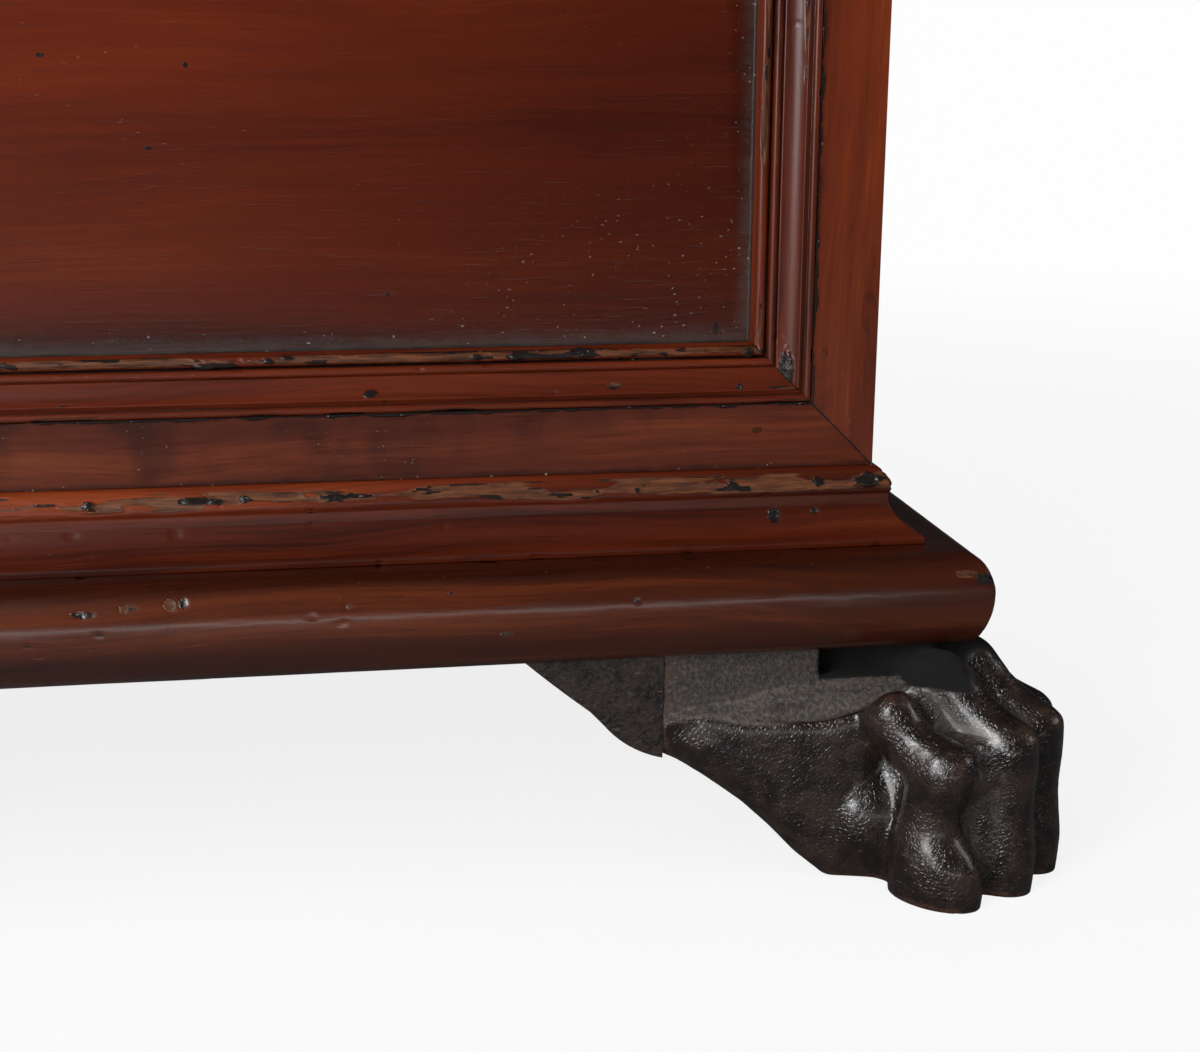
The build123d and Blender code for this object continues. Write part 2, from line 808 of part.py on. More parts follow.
for side_name, hinge_x in (("left", -hinge_side), ("right", hinge_side)):
    leaf_knuckle_offset = (leaf_width - leaf_knuckle_length) / 2

    # Leaf on the back: a tapering plate under its two knuckles
    with BuildPart() as leaf:
        with BuildSketch(Plane.XZ.offset(-back_y)):
            Polygon(
                (hinge_x - leaf_width / 2, hinge_z),
                (hinge_x - strap_end_width / 2, hinge_z - leaf_length + strap_end_width / 2),
                (hinge_x + strap_end_width / 2, hinge_z - leaf_length + strap_end_width / 2),
                (hinge_x + leaf_width / 2, hinge_z),
                align=None,
            )
            with Locations((hinge_x, hinge_z - leaf_length + strap_end_width / 2)):
                Circle(strap_end_width / 2)
            with Locations((hinge_x, hinge_z)):
                Rectangle(
                    strap_knuckle_length + 2 * knuckle_gap,
                    2 * (barrel_radius + knuckle_gap),
                    mode=Mode.SUBTRACT,
                )
        extrude(amount=-hinge_iron)
        with barrel_places(-leaf_knuckle_offset, leaf_knuckle_offset, x=hinge_x):
            Cylinder(barrel_radius, leaf_knuckle_length)
        with barrel_places(0, x=hinge_x):
            Cylinder(pin_hole_radius, 2 * leaf_width, mode=Mode.SUBTRACT)
    save(leaf, f"hinge_leaf_{side_name}")

    # Strap let into the lid, with one knuckle between the leaf's two
    with BuildPart() as strap:
        with BuildSketch(Plane.XY.offset(lid_bottom_z)):
            strap_outline(hinge_x)
            with Locations((hinge_x, back_y)):
                Rectangle(strap_knuckle_length, hinge_y - back_y, align=(Align.CENTER, Align.MIN))
        extrude(amount=hinge_iron)
        with barrel_places(0, x=hinge_x):
            Cylinder(barrel_radius, strap_knuckle_length)
            Cylinder(pin_hole_radius, 2 * leaf_width, mode=Mode.SUBTRACT)
    save(strap, f"hinge_strap_{side_name}")

    # Pin through all three knuckles, its ends hammered over
    head_offset = (leaf_width + pin_head_height) / 2
    with BuildPart() as pin:
        with barrel_places(0, x=hinge_x):
            Cylinder(hinge_pin_radius, leaf_width)
        with barrel_places(-head_offset, head_offset, x=hinge_x):
            Cylinder(pin_head_radius, pin_head_height)
    save(pin, f"hinge_pin_{side_name}")

# ---------------------------------------------------------------- lock
lock_top_z = rim_z - lock_drop
lock_middle_z = lock_top_z - lock_height / 2
eye_width = bolt_thickness + 2 * staple_eye_gap
eye_foot_z = bolt_z - bolt_height / 2 - staple_eye_gap
staple_width = eye_width + 2 * staple_iron
staple_foot_z = eye_foot_z - staple_iron
mortise_half_length = staple_iron / 2 + staple_room
mortise_foot_z = staple_foot_z - staple_room
bolt_tip_x = staple_side - mortise_half_length - bolt_tip_gap
channel_end_x = bolt_tip_x + bolt_travel + bolt_tip_gap
channel_start_x = bolt_tip_x - bolt_length - bolt_tip_gap

# Case: nailed plate and box, with a channel for the bolt and a mortise for the staple
with BuildPart() as lock_case:
    with Locations((0, inner_front_y, lock_middle_z)):
        Box(
            lock_plate_length,
            lock_plate_thickness,
            lock_height,
            align=(Align.CENTER, Align.MIN, Align.CENTER),
        )
        Box(lock_length, lock_depth, lock_height, align=(Align.CENTER, Align.MIN, Align.CENTER))
    with Locations((channel_start_x, bolt_y, bolt_z)):
        Box(
            channel_end_x - channel_start_x,
            bolt_thickness + 2 * bolt_clearance,
            bolt_height + 2 * bolt_clearance,
            align=(Align.MIN, Align.CENTER, Align.CENTER),
            mode=Mode.SUBTRACT,
        )
    with Locations((staple_side, bolt_y, mortise_foot_z)):
        Box(
            2 * mortise_half_length,
            staple_width + 2 * staple_room,
            lock_top_z - mortise_foot_z,
            align=(Align.CENTER, Align.CENTER, Align.MIN),
            mode=Mode.SUBTRACT,
        )
save(lock_case, "lock_case")

# Bolt, drawn back at rest
with BuildPart() as bolt:
    with Locations((bolt_tip_x, bolt_y, bolt_z)):
        Box(bolt_length, bolt_thickness, bolt_height, align=(Align.MAX, Align.CENTER, Align.CENTER))
    chamfer(bolt.faces().sort_by(Axis.X)[-1].edges().filter_by(Axis.Y), length=bolt_chamfer)
save(bolt, "lock_bolt")

# Staple under the lid: a plate with a long loop that the bolt passes through
with BuildPart() as staple:
    with Locations((staple_side, bolt_y, lid_bottom_z)):
        Box(
            staple_plate_length,
            staple_plate_width,
            staple_plate_thickness,
            align=(Align.CENTER, Align.CENTER, Align.MAX),
        )
    with BuildSketch(Plane.YZ.offset(staple_side - staple_iron / 2)) as loop:
        with Locations((bolt_y, lid_bottom_z - staple_plate_thickness)):
            Rectangle(
                staple_width,
                lid_bottom_z - staple_plate_thickness - staple_foot_z,
                align=(Align.CENTER, Align.MAX),
            )
        fillet(loop.vertices().group_by(Axis.Y)[0], radius=staple_iron)
        with Locations((bolt_y, lid_bottom_z - staple_plate_thickness)):
            Rectangle(
                eye_width,
                lid_bottom_z - staple_plate_thickness - eye_foot_z,
                align=(Align.CENTER, Align.MAX),
                mode=Mode.SUBTRACT,
            )
    extrude(amount=staple_iron)
save(staple, "lid_staple")


# ---------------------------------------------------------------- nails
with BuildPart() as nail:
    Box(
        nail_head_width,
        nail_head_width,
        nail_head_height,
        align=(Align.CENTER, Align.CENTER, Align.MIN),
    )
    crown = nail.faces().sort_by(Axis.Z)[-1]
    chamfer(crown.edges(), length=nail_bevel_width, length2=nail_bevel_height, reference=crown)
    Box(
        nail_shank_width,
        nail_shank_width,
        nail_length,
        align=(Align.CENTER, Align.CENTER, Align.MAX),
    )


def save_nails(name, outward, points):
    """Square nails with bevelled heads, driven through iron into the wood behind."""
    with BuildPart() as nails:
        for point in points:
            add(nail.part.moved(Plane(point, z_dir=outward).location))
    save(nails, name)


hinge_xs = (-hinge_side, hinge_side)
leaf_nail_z = [hinge_z - share * leaf_length for share in leaf_nail_shares]
save_nails(
    "nails_back",
    (0, 1, 0),
    [(x, back_y + hinge_iron, z) for x in hinge_xs for z in leaf_nail_z],
)

strap_nail_y = [hinge_y - share * strap_length for share in strap_nail_shares] + [strap_eye_y]
strap_nails = [(x, y, lid_bottom_z) for x in hinge_xs for y in strap_nail_y]
staple_nails = [
    (staple_side + offset, bolt_y, lid_bottom_z - staple_plate_thickness)
    for offset in (-staple_nail_side, staple_nail_side)
]
save_nails("nails_lid", (0, 0, -1), strap_nails + staple_nails)

lock_nail_x = (lock_length + lock_plate_length) / 4
save_nails(
    "nails_lock",
    (0, 1, 0),
    [
        (x, inner_front_y + lock_plate_thickness, lock_middle_z + z)
        for x in (-lock_nail_x, lock_nail_x)
        for z in (-lock_nail_rise, lock_nail_rise)
    ],
)
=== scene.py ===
"""Cassone: a long walnut chest on lion's-paw feet, dressed round its CAD frame."""

import cmath
import math

import bmesh
import bpy
import numpy as np
from mathutils import Matrix, Vector


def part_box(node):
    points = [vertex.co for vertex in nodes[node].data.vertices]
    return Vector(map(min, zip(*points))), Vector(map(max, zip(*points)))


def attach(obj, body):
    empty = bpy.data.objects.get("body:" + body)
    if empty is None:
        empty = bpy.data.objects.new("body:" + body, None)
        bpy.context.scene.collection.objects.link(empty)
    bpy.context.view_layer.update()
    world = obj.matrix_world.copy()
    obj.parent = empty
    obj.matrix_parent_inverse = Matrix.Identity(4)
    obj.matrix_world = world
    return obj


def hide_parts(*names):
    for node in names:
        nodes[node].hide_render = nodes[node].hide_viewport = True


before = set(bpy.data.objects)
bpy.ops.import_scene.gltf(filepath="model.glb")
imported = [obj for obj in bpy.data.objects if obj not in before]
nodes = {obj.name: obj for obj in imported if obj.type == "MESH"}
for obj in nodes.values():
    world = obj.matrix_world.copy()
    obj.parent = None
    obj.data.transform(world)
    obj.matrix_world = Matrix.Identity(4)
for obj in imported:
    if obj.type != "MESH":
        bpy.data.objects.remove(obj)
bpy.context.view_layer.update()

# ------------------------------------------------------------------ camera and studio
# The chest is seen close up at its lower front right corner. It stands on a white
# floor, under a large soft lamp from the front left and weaker ones round it.
EYE = Vector((0.4436, -1.1307, 0.4407))
TURN_RIGHT = math.radians(8.644)
LOOK_DOWN = math.radians(14.805)
ROLL = math.radians(0.114)
FOCAL_LENGTH = 51.51


def add_object(name, data):
    """A new object in the scene for a mesh, a lamp or a camera."""
    made = bpy.data.objects.new(name, data)
    bpy.context.scene.collection.objects.link(made)
    return made


forward = Vector((
    math.sin(TURN_RIGHT) * math.cos(LOOK_DOWN),
    math.cos(TURN_RIGHT) * math.cos(LOOK_DOWN),
    -math.sin(LOOK_DOWN),
))
level = Vector((math.cos(TURN_RIGHT), -math.sin(TURN_RIGHT), 0.0))
across = math.cos(ROLL) * level + math.sin(ROLL) * level.cross(forward)
camera = add_object("camera", bpy.data.cameras.new("camera"))
camera.data.lens = FOCAL_LENGTH
camera.matrix_world = Matrix.Translation(EYE) @ Matrix(
    (across, across.cross(forward), -forward)
).transposed().to_4x4()
bpy.context.scene.camera = camera
bpy.context.scene.view_settings.view_transform = "Standard"


def put(tree, kind, inputs=None, **settings):
    """Add one shader node to a tree, set it up and fill or wire its inputs."""
    made = tree.nodes.new("ShaderNode" + kind)
    for key, value in settings.items():
        setattr(made, key, value)
    for key, value in (inputs or {}).items():
        if isinstance(value, bpy.types.NodeSocket):
            tree.links.new(value, made.inputs[key])
        else:
            made.inputs[key].default_value = value
    return made


def blend(tree, share, low, high):
    """Two values mixed by a share."""
    return put(tree, "Mix", {0: share, 2: low, 3: high}).outputs[0]


def keep(form, mesh):
    """Write a finished form into a mesh."""
    form.to_mesh(mesh)
    form.free()


def lamp(name, place, aim, size, power, mirrored=True):
    """A soft lamp that points at a spot on the chest. Gloss may leave its image out."""
    light = bpy.data.lights.new(name, "AREA")
    light.shape = "RECTANGLE"
    light.size, light.size_y = size
    light.energy = power
    holder = add_object(name, light)
    holder.location = place
    holder.visible_glossy = mirrored
    holder.rotation_euler = (Vector(aim) - Vector(place)).to_track_quat("-Z", "Y").to_euler()


lamp("key_lamp", (-1.55, -2.15, 0.95), (0.2, -0.2, 0.35), (1.3, 1.3), 48.0)
lamp("low_lamp", (0.25, -1.05, 0.06), (0.35, -0.25, 0.16), (1.6, 0.05), 0.75)
lamp("high_lamp", (-1.15, -1.75, 1.7), (0.7, -0.3, 0.15), (0.36, 1.0), 26.0)
lamp("front_lamp", (-0.5, -3.1, 1.9), (0.35, -0.2, 0.3), (2.2, 1.4), 20.0, mirrored=False)
lamp("side_lamp", (3.4, -1.0, 1.5), (0.7, -0.1, 0.3), (1.2, 1.2), 12.0)
lamp("top_lamp", (0.3, -0.9, 2.9), (0.3, -0.1, 0.3), (2.4, 1.6), 22.0, mirrored=False)
lamp("back_lamp", (-1.2, 2.8, 2.2), (0.0, 0.0, 0.3), (1.6, 1.6), 50.0)

world = bpy.data.worlds.new("studio")
bpy.context.scene.world = world
world.use_nodes = True
world.node_tree.nodes.clear()
WHITE = 0.99
ROOM_LIGHT = 0.30
ROOM_MIRRORED = 0.02


def seen_by_ray(tree, by_camera, by_gloss, otherwise):
    """A value for what the camera sees, one for what gloss mirrors and one for the rest."""
    path = put(tree, "LightPath")
    gloss = blend(tree, path.outputs["Is Glossy Ray"], otherwise, by_gloss)
    return blend(tree, path.outputs["Is Camera Ray"], gloss, by_camera)


strength = seen_by_ray(world.node_tree, WHITE, ROOM_MIRRORED, ROOM_LIGHT)
room = put(world.node_tree, "Background", {"Color": (1, 1, 1, 1), "Strength": strength})
put(world.node_tree, "OutputWorld", {"Surface": room.outputs[0]})

FLOOR_HALF = 30.0
sheet = bmesh.new()
bmesh.ops.create_grid(sheet, x_segments=1, y_segments=1, size=FLOOR_HALF)
floor_mesh = bpy.data.meshes.new("floor")
keep(sheet, floor_mesh)
floor = add_object("floor", floor_mesh)

# White paper that the camera sees brighter than it lights the chest, and quite white far off.
# Gloss mirrors it dark, and lighter on the left: a painted pool of the key lamp's light, seen only in
# reflections.
GLOW_NEAR = 0.84
GLOW_STARTS, GLOW_FULL = 1.1, 3.5
MIRRORED_LEFT, MIRRORED_RIGHT = 0.3, 0.08
LEFT_X, RIGHT_X = -0.6, 0.75


def make_white_paper():
    """The studio's paper: matt, lit by the lamps, and glowing for the camera."""
    material = bpy.data.materials.new("white_paper")
    material.use_nodes = True
    tree = material.node_tree
    tree.nodes.clear()
    where = put(tree, "TexCoord").outputs["Object"]
    far_off = put(tree, "VectorMath", {0: where}, operation="LENGTH").outputs["Value"]
    glowing = put(tree, "MapRange", {0: far_off, 1: GLOW_STARTS, 2: GLOW_FULL, 3: GLOW_NEAR, 4: 1.0},
                  interpolation_type="SMOOTHSTEP").outputs[0]
    matt = put(tree, "BsdfDiffuse", {"Color": (0.8, 0.8, 0.8, 1)})
    glow = put(tree, "Emission", {"Color": (1, 1, 1, 1), "Strength": WHITE})
    # What gloss mirrors is a painted pool of light: brighter on the left, where the key lamp's light
    # falls.
    sideways = put(tree, "SeparateXYZ", {0: where}).outputs[0]
    sheen = put(tree, "MapRange", {0: sideways, 1: LEFT_X, 2: RIGHT_X, 3: MIRRORED_LEFT,
                                   4: MIRRORED_RIGHT}, interpolation_type="SMOOTHSTEP").outputs[0]
    mirrored = put(tree, "BsdfDiffuse", {"Color": sheen})
    path = put(tree, "LightPath")
    share = put(tree, "Math", {0: path.outputs["Is Camera Ray"], 1: glowing}, operation="MULTIPLY")
    lit = put(tree, "MixShader", {0: path.outputs["Is Glossy Ray"], 1: matt.outputs[0],
                                  2: mirrored.outputs[0]})
    both = put(tree, "MixShader", {0: share.outputs[0], 1: lit.outputs[0], 2: glow.outputs[0]})
    put(tree, "OutputMaterial", {"Surface": both.outputs[0]})
    return material


floor.data.materials.append(make_white_paper())

# ------------------------------------------------------------------ base frame and bottom
# Plain sawn rails behind the torus carry the box, and three boards laid on them are its
# bottom. They are dry walnut, never polished, and their grain runs along them.


def start_group(name, inputs, outputs):
    """A shader group with named sockets: its tree, what comes in and what goes out."""
    tree = bpy.data.node_groups.new(name, "ShaderNodeTree")
    for label, kind, value in inputs:
        socket = tree.interface.new_socket(label, in_out="INPUT", socket_type="NodeSocket" + kind)
        if value is not None:
            socket.default_value = value
    for label, kind in outputs:
        tree.interface.new_socket(label, in_out="OUTPUT", socket_type="NodeSocket" + kind)
    taken = tree.nodes.new("NodeGroupInput").outputs
    given = tree.nodes.new("NodeGroupOutput").inputs
    return tree, taken, given


def wire(tree, sockets, values):
    """Lead values to the sockets that they are named for."""
    for label, value in values.items():
        tree.links.new(value, sockets[label])


def calc(tree, operation, *values):
    """One step of arithmetic on sockets or numbers."""
    return put(tree, "Math", dict(enumerate(values)), operation=operation).outputs[0]


def spread(tree, value, low, high, to_low=0.0, to_high=1.0):
    """A value stretched from one range to another, and held at its ends."""
    return put(tree, "MapRange", {0: value, 1: low, 2: high, 3: to_low, 4: to_high},
               interpolation_type="SMOOTHSTEP").outputs[0]


def sway(tree, noise, amount, base):
    """A base moved up and down by noise about its middle."""
    return calc(tree, "MULTIPLY_ADD", calc(tree, "SUBTRACT", noise, 0.5), amount, base)


def place_on(tree):
    """The place on the chest, in metres."""
    return put(tree, "TexCoord").outputs["Object"]


def mask(tree, name):
    """What a mesh keeps for each of its points under a name."""
    return put(tree, "Attribute", attribute_name=name).outputs["Fac"]


def tint(tree, share, first, second, blend_type="MIX"):
    """Two colours mixed by a share."""
    return put(tree, "Mix", {0: share, 6: first, 7: second}, data_type="RGBA",
               blend_type=blend_type).outputs[2]


def clouds(tree, vector, scale, stretch=(1, 1, 1), detail=4.0, roughness=0.55, shift=(0, 0, 0)):
    """Noise on a stretched vector."""
    placed = put(tree, "Mapping", {"Vector": vector, "Scale": stretch, "Location": shift})
    return put(tree, "TexNoise", {"Vector": placed.outputs[0], "Scale": scale, "Detail": detail,
                                  "Roughness": roughness}).outputs[0]


def make_walnut_grain():
    """Grain along X: broad figure, fine fibres and pores, from dark to light heartwood."""
    tree, taken, given = start_group(
        "walnut_grain",
        [("Vector", "Vector", None), ("Dark", "Color", (0.03, 0.008, 0.004, 1)),
         ("Middle", "Color", (0.08, 0.02, 0.009, 1)), ("Light", "Color", (0.15, 0.045, 0.017, 1)),
         ("Figure", "Float", 1.0)],
        [("Colour", "Color"), ("Tone", "Float"), ("Height", "Float")],
    )
    vector = taken["Vector"]
    bend = clouds(tree, vector, 2.2, (1, 2, 2), 2.0)
    lift = put(tree, "CombineXYZ", {1: calc(tree, "MULTIPLY", bend, 0.035),
                                    2: calc(tree, "MULTIPLY", bend, 0.05)})
    bent = put(tree, "VectorMath", {0: vector, 1: lift.outputs[0]}, operation="ADD").outputs[0]
    figure = clouds(tree, bent, 1.0, (1.5, 42, 42), 5.0, 0.6)
    fibres = clouds(tree, bent, 1.0, (11, 420, 420), 3.0, 0.6, (3, 1, 7))
    blotch = clouds(tree, bent, 1.0, (3.2, 11, 11), 3.0, 0.5, (9, 4, 2))
    tone = sway(tree, figure, taken["Figure"], 0.5)
    tone = sway(tree, blotch, 0.5, tone)
    tone = sway(tree, fibres, 0.34, tone)
    pores = spread(tree, clouds(tree, bent, 1.0, (34, 900, 900), 1.0, 0.5, (5, 5, 5)), 0.62, 0.74)
    low = tint(tree, spread(tree, tone, 0.22, 0.54), taken["Dark"], taken["Middle"])
    whole = tint(tree, spread(tree, tone, 0.5, 0.82), low, taken["Light"])
    colour = tint(tree, calc(tree, "MULTIPLY", pores, 0.35), whole, taken["Dark"])
    height = calc(tree, "SUBTRACT", fibres, calc(tree, "MULTIPLY", pores, 0.6))
    wire(tree, given, {"Colour": colour, "Tone": tone, "Height": height})
    return tree


def make_old_marks():
    """Worm holes, dents filled with black wax, and short pale scratches."""
    tree, taken, given = start_group(
        "old_marks",
        [("Vector", "Vector", None), ("Amount", "Float", 1.0)],
        [("Holes", "Float"), ("Scratches", "Float"), ("Height", "Float")],
    )
    vector = taken["Vector"]
    wobble = put(tree, "TexNoise", {"Vector": vector, "Scale": 160.0, "Detail": 2.0}).outputs[1]
    shake = put(tree, "VectorMath", {0: wobble, 3: 0.0022}, operation="SCALE").outputs[0]
    moved = put(tree, "VectorMath", {0: vector, 1: shake}, operation="ADD").outputs[0]
    cells = put(tree, "TexVoronoi", {"Vector": moved, "Scale": 34.0})
    chosen = put(tree, "SeparateColor", {0: cells.outputs["Color"]})
    size = spread(tree, chosen.outputs[0], 0.72, 1.0, 0.0, 0.085)
    size = calc(tree, "MULTIPLY", size, taken["Amount"])
    inside = calc(tree, "SUBTRACT", size, cells.outputs["Distance"])
    holes = spread(tree, inside, 0.0, 0.03)
    patches = spread(tree, clouds(tree, vector, 5.0, (1, 1, 1), 2.0), 0.5, 0.62)
    lines = clouds(tree, vector, 1.0, (150, 950, 950), 1.0, 0.5, (2, 8, 3))
    nicks = calc(tree, "MULTIPLY", spread(tree, lines, 0.765, 0.785), patches)
    nicks = calc(tree, "MULTIPLY", nicks, taken["Amount"])
    height = calc(tree, "MULTIPLY_ADD", nicks, -0.3, calc(tree, "MULTIPLY", holes, -1.0))
    wire(tree, given, {"Holes": holes, "Scratches": nicks, "Height": height})
    return tree


def make_wax_and_dust():
    """What age leaves on wood: black wax in hollows, bare chipped wood and grey dust, and darkening from
    grime and painted shade.
    """
    tree, taken, given = start_group(
        "wax_and_dust",
        [("Vector", "Vector", None), ("Colour", "Color", (0.1, 0.03, 0.01, 1)),
         ("Wax", "Float", 0.0), ("Bare", "Float", 0.0), ("Dust", "Float", 0.0),
         ("Grime", "Float", 0.0), ("Roughness", "Float", 0.3)],
        [("Colour", "Color"), ("Roughness", "Float"), ("Height", "Float")],
    )
    vector = taken["Vector"]
    crumbs = clouds(tree, vector, 420.0, (0.12, 1, 1), 4.0, 0.65)
    patchy = clouds(tree, vector, 110.0, (0.2, 1, 1), 4.0, 0.62, (1, 2, 3))
    specks = spread(tree, clouds(tree, vector, 520.0, (0.7, 1, 1), 1.0, 0.5, (6, 2, 3)), 0.72, 0.78)
    bare = spread(tree, sway(tree, patchy, 0.9, taken["Bare"]), 0.32, 0.6)
    wax = spread(tree, sway(tree, patchy, -0.8, taken["Wax"]), 0.25, 0.7)
    dust = calc(tree, "MULTIPLY", taken["Dust"], spread(tree, crumbs, 0.2, 0.7, 0.45, 1.0))
    wood = tint(tree, spread(tree, crumbs, 0.3, 0.7), (0.034, 0.009, 0.0028, 1),
                (0.115, 0.034, 0.0085, 1))
    # The grime input darkens the colour: grime, and painted shade in hollows and where less light falls.
    colour = tint(tree, taken["Grime"], taken["Colour"], (0.2, 0.16, 0.2, 1), "MULTIPLY")
    colour = tint(tree, bare, colour, wood)
    colour = tint(tree, wax, colour, (0.01, 0.0078, 0.0074, 1))
    colour = tint(tree, dust, colour, (0.075, 0.068, 0.06, 1))
    sown = calc(tree, "MULTIPLY", specks, spread(tree, calc(tree, "MAXIMUM", taken["Grime"],
                                                            taken["Wax"]), 0.4, 0.8))
    colour = tint(tree, calc(tree, "MULTIPLY", sown, 0.6), colour, (0.26, 0.23, 0.2, 1))
    rough = calc(tree, "MULTIPLY_ADD", bare, 0.2, taken["Roughness"])
    rough = blend(tree, dust, blend(tree, wax, rough, 0.17), 0.8)
    relief = calc(tree, "MULTIPLY", crumbs, calc(tree, "MULTIPLY_ADD", bare, 0.7, wax))
    wire(tree, given, {"Colour": colour, "Roughness": rough, "Height": relief})
    return tree


walnut_grain = make_walnut_grain()
old_marks = make_old_marks()
wax_and_dust = make_wax_and_dust()
ALONG = {"x": (0, 0, 0), "y": (0, 0, -math.pi / 2), "z": (0, math.pi / 2, 0)}


def use(tree, group, **inputs):
    """Place a shader group in a material."""
    return put(tree, "Group", inputs, node_tree=group)


def start_material(name):
    """An empty material: its tree and its Principled shader, wired to the output."""
    material = bpy.data.materials.new(name)
    material.use_nodes = True
    tree = material.node_tree
    tree.nodes.clear()
    shader = put(tree, "BsdfPrincipled")
    put(tree, "OutputMaterial", {"Surface": shader.outputs[0]})
    return material, tree, shader


def relief(tree, height, depth, strength=1.0, normal=None):
    """A bump from a height, in metres."""
    made = put(tree, "Bump", {"Height": height, "Distance": depth, "Strength": strength})
    if normal is not None:
        tree.links.new(normal, made.inputs["Normal"])
    return made.outputs[0]


def grained(tree, grain, shift):
    """Object coordinates turned so that the grain runs along X."""
    placed = {"Vector": place_on(tree), "Rotation": ALONG[grain], "Location": shift}
    return put(tree, "Mapping", placed).outputs[0]


DRY_WALNUT = ((0.055, 0.02, 0.0085, 1), (0.11, 0.043, 0.018, 1), (0.165, 0.07, 0.031, 1))
DRY_ROUGHNESS = 0.62
HALF_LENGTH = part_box("band_bottom")[1].x
FRONT_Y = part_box("band_bottom")[0].y
BACK_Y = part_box("back_board")[1].y
LID_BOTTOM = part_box("lid_board_front")[0].z
# How far in from the outside a board's inner face begins: behind the frame, and elsewhere.
FRAMED_DEPTH = 0.024
PLAIN_DEPTH = 0.010


def inside_share(tree):
    """1 on faces of the box and lid that look into the closed chest, and 0 outside."""
    axes = put(tree, "SeparateXYZ", {0: place_on(tree)})
    sideways = calc(tree, "ABSOLUTE", axes.outputs[0])
    from_end = calc(tree, "SUBTRACT", HALF_LENGTH - PLAIN_DEPTH, sideways)
    from_front = calc(tree, "SUBTRACT", axes.outputs[1], FRONT_Y + FRAMED_DEPTH)
    from_back = calc(tree, "SUBTRACT", BACK_Y - PLAIN_DEPTH, axes.outputs[1])
    deep = calc(tree, "MINIMUM", from_end, calc(tree, "MINIMUM", from_front, from_back))
    under_lid = spread(tree, calc(tree, "SUBTRACT", LID_BOTTOM, axes.outputs[2]), -0.0015, -0.0005)
    return calc(tree, "MULTIPLY", spread(tree, deep, -0.0004, 0.0004), under_lid)


def finish_material(name, grain, colours, shift=(0, 0, 0), figure=1.0, marks=1.0, roughness=0.3,
                    coat=0.0, extra=None, bare_inside=False, specular=0.4):
    """Old walnut: grain, marks, and wax, bare wood, dust, and grime with painted shade from the piece's
    attributes.
    extra(tree) may return its own wax, dust, and darkening of grime and painted shade, for a piece
    without attributes.
    Boards of the box and lid may be left bare and dry where they face the inside."""
    material, tree, shader = start_material(name)
    vector = grained(tree, grain, shift)
    dark, middle, light = colours
    wood = use(tree, walnut_grain, Vector=vector, Dark=dark, Middle=middle, Light=light, Figure=figure)
    spots = use(tree, old_marks, Vector=vector, Amount=marks)
    # The grime mask holds grime and painted shade: darker in hollows and where less light falls.
    bare, wax, dust, grime = [mask(tree, kept) for kept in ("bare", "wax", "dust", "grime")]
    if extra:
        wax, dust, grime = extra(tree)
    wax = calc(tree, "MAXIMUM", wax, spots.outputs["Holes"])
    colour = tint(tree, calc(tree, "MULTIPLY", spots.outputs["Scratches"], 0.5),
                  wood.outputs["Colour"], (0.22, 0.12, 0.07, 1))
    base_roughness = calc(tree, "MULTIPLY_ADD", wood.outputs["Tone"], -0.12, roughness + 0.06)
    if bare_inside:
        inside = inside_share(tree)
        dry = use(tree, walnut_grain, Vector=vector, Dark=DRY_WALNUT[0], Middle=DRY_WALNUT[1],
                  Light=DRY_WALNUT[2], Figure=figure)
        colour = tint(tree, inside, colour, dry.outputs["Colour"])
        base_roughness = blend(tree, inside, base_roughness, DRY_ROUGHNESS)
        outside = calc(tree, "SUBTRACT", 1.0, inside)
        grime = calc(tree, "MULTIPLY", grime, outside)
        dust = calc(tree, "MULTIPLY", dust, outside)
    aged = use(tree, wax_and_dust, Vector=vector, Colour=colour, Wax=wax, Bare=bare, Dust=dust,
               Grime=grime, Roughness=base_roughness)
    fine = relief(tree, wood.outputs["Height"], 0.00012, 0.5)
    marked = relief(tree, spots.outputs["Height"], 0.0009, 0.8, fine)
    rough = relief(tree, aged.outputs["Height"], 0.0011, 0.9, marked)
    wire(tree, shader.inputs, {"Base Color": aged.outputs["Colour"],
                               "Roughness": aged.outputs["Roughness"], "Normal": rough})
    shader.inputs["Specular IOR Level"].default_value = specular
    shader.inputs["Coat Weight"].default_value = coat
    shader.inputs["Coat Roughness"].default_value = 0.2
    return material


def dress(piece, material):
    """Give a CAD node's own mesh one material in all its slots."""
    if not piece.data.materials:
        piece.data.materials.append(material)
    for index in range(len(piece.data.materials)):
        piece.data.materials[index] = material


dry_x = finish_material("dry_walnut_long", "x", DRY_WALNUT, (2, 1, 0), 0.9, 0.8, DRY_ROUGHNESS)
dry_y = finish_material("dry_walnut_cross", "y", DRY_WALNUT, (5, 3, 1), 0.9, 0.8, DRY_ROUGHNESS)
for name in ("base_rail_front", "base_rail_back", "bottom_board_1", "bottom_board_2", "bottom_board_3"):
    dress(nodes[name], dry_x)
for name in ("base_rail_left", "base_rail_right"):
    dress(nodes[name], dry_y)

# ------------------------------------------------------------------ carved paw feet
# Four lion's paws carved from walnut blocks, stained and lacquered nearly black. Each has
# four knuckled toes, a heel pad and arms that run back under the base to meet the wings.
MM = 0.001
PAW_VOXEL = 0.0016
SMOOTHING_ROUNDS = 10


def lattice(points, seed):
    """Smooth random values from 0 to 1 on a unit lattice."""
    cell = np.floor(points).astype(np.int64)
    near = points - cell
    near = near * near * (3 - 2 * near)
    total = np.zeros(len(points))
    for corner in np.ndindex(2, 2, 2):
        key = cell + np.array(corner)
        mixed = key[:, 0] * 73856093 ^ key[:, 1] * 19349663 ^ key[:, 2] * 83492791 ^ seed * 26544357
        mixed = (mixed ^ (mixed >> 13)) * 1274126177 & 0x7FFFFFFF
        share = np.prod(np.where(corner, near, 1 - near), axis=1)
        total += share * ((mixed >> 7) & 0xFFFF) / 0xFFFF
    return total


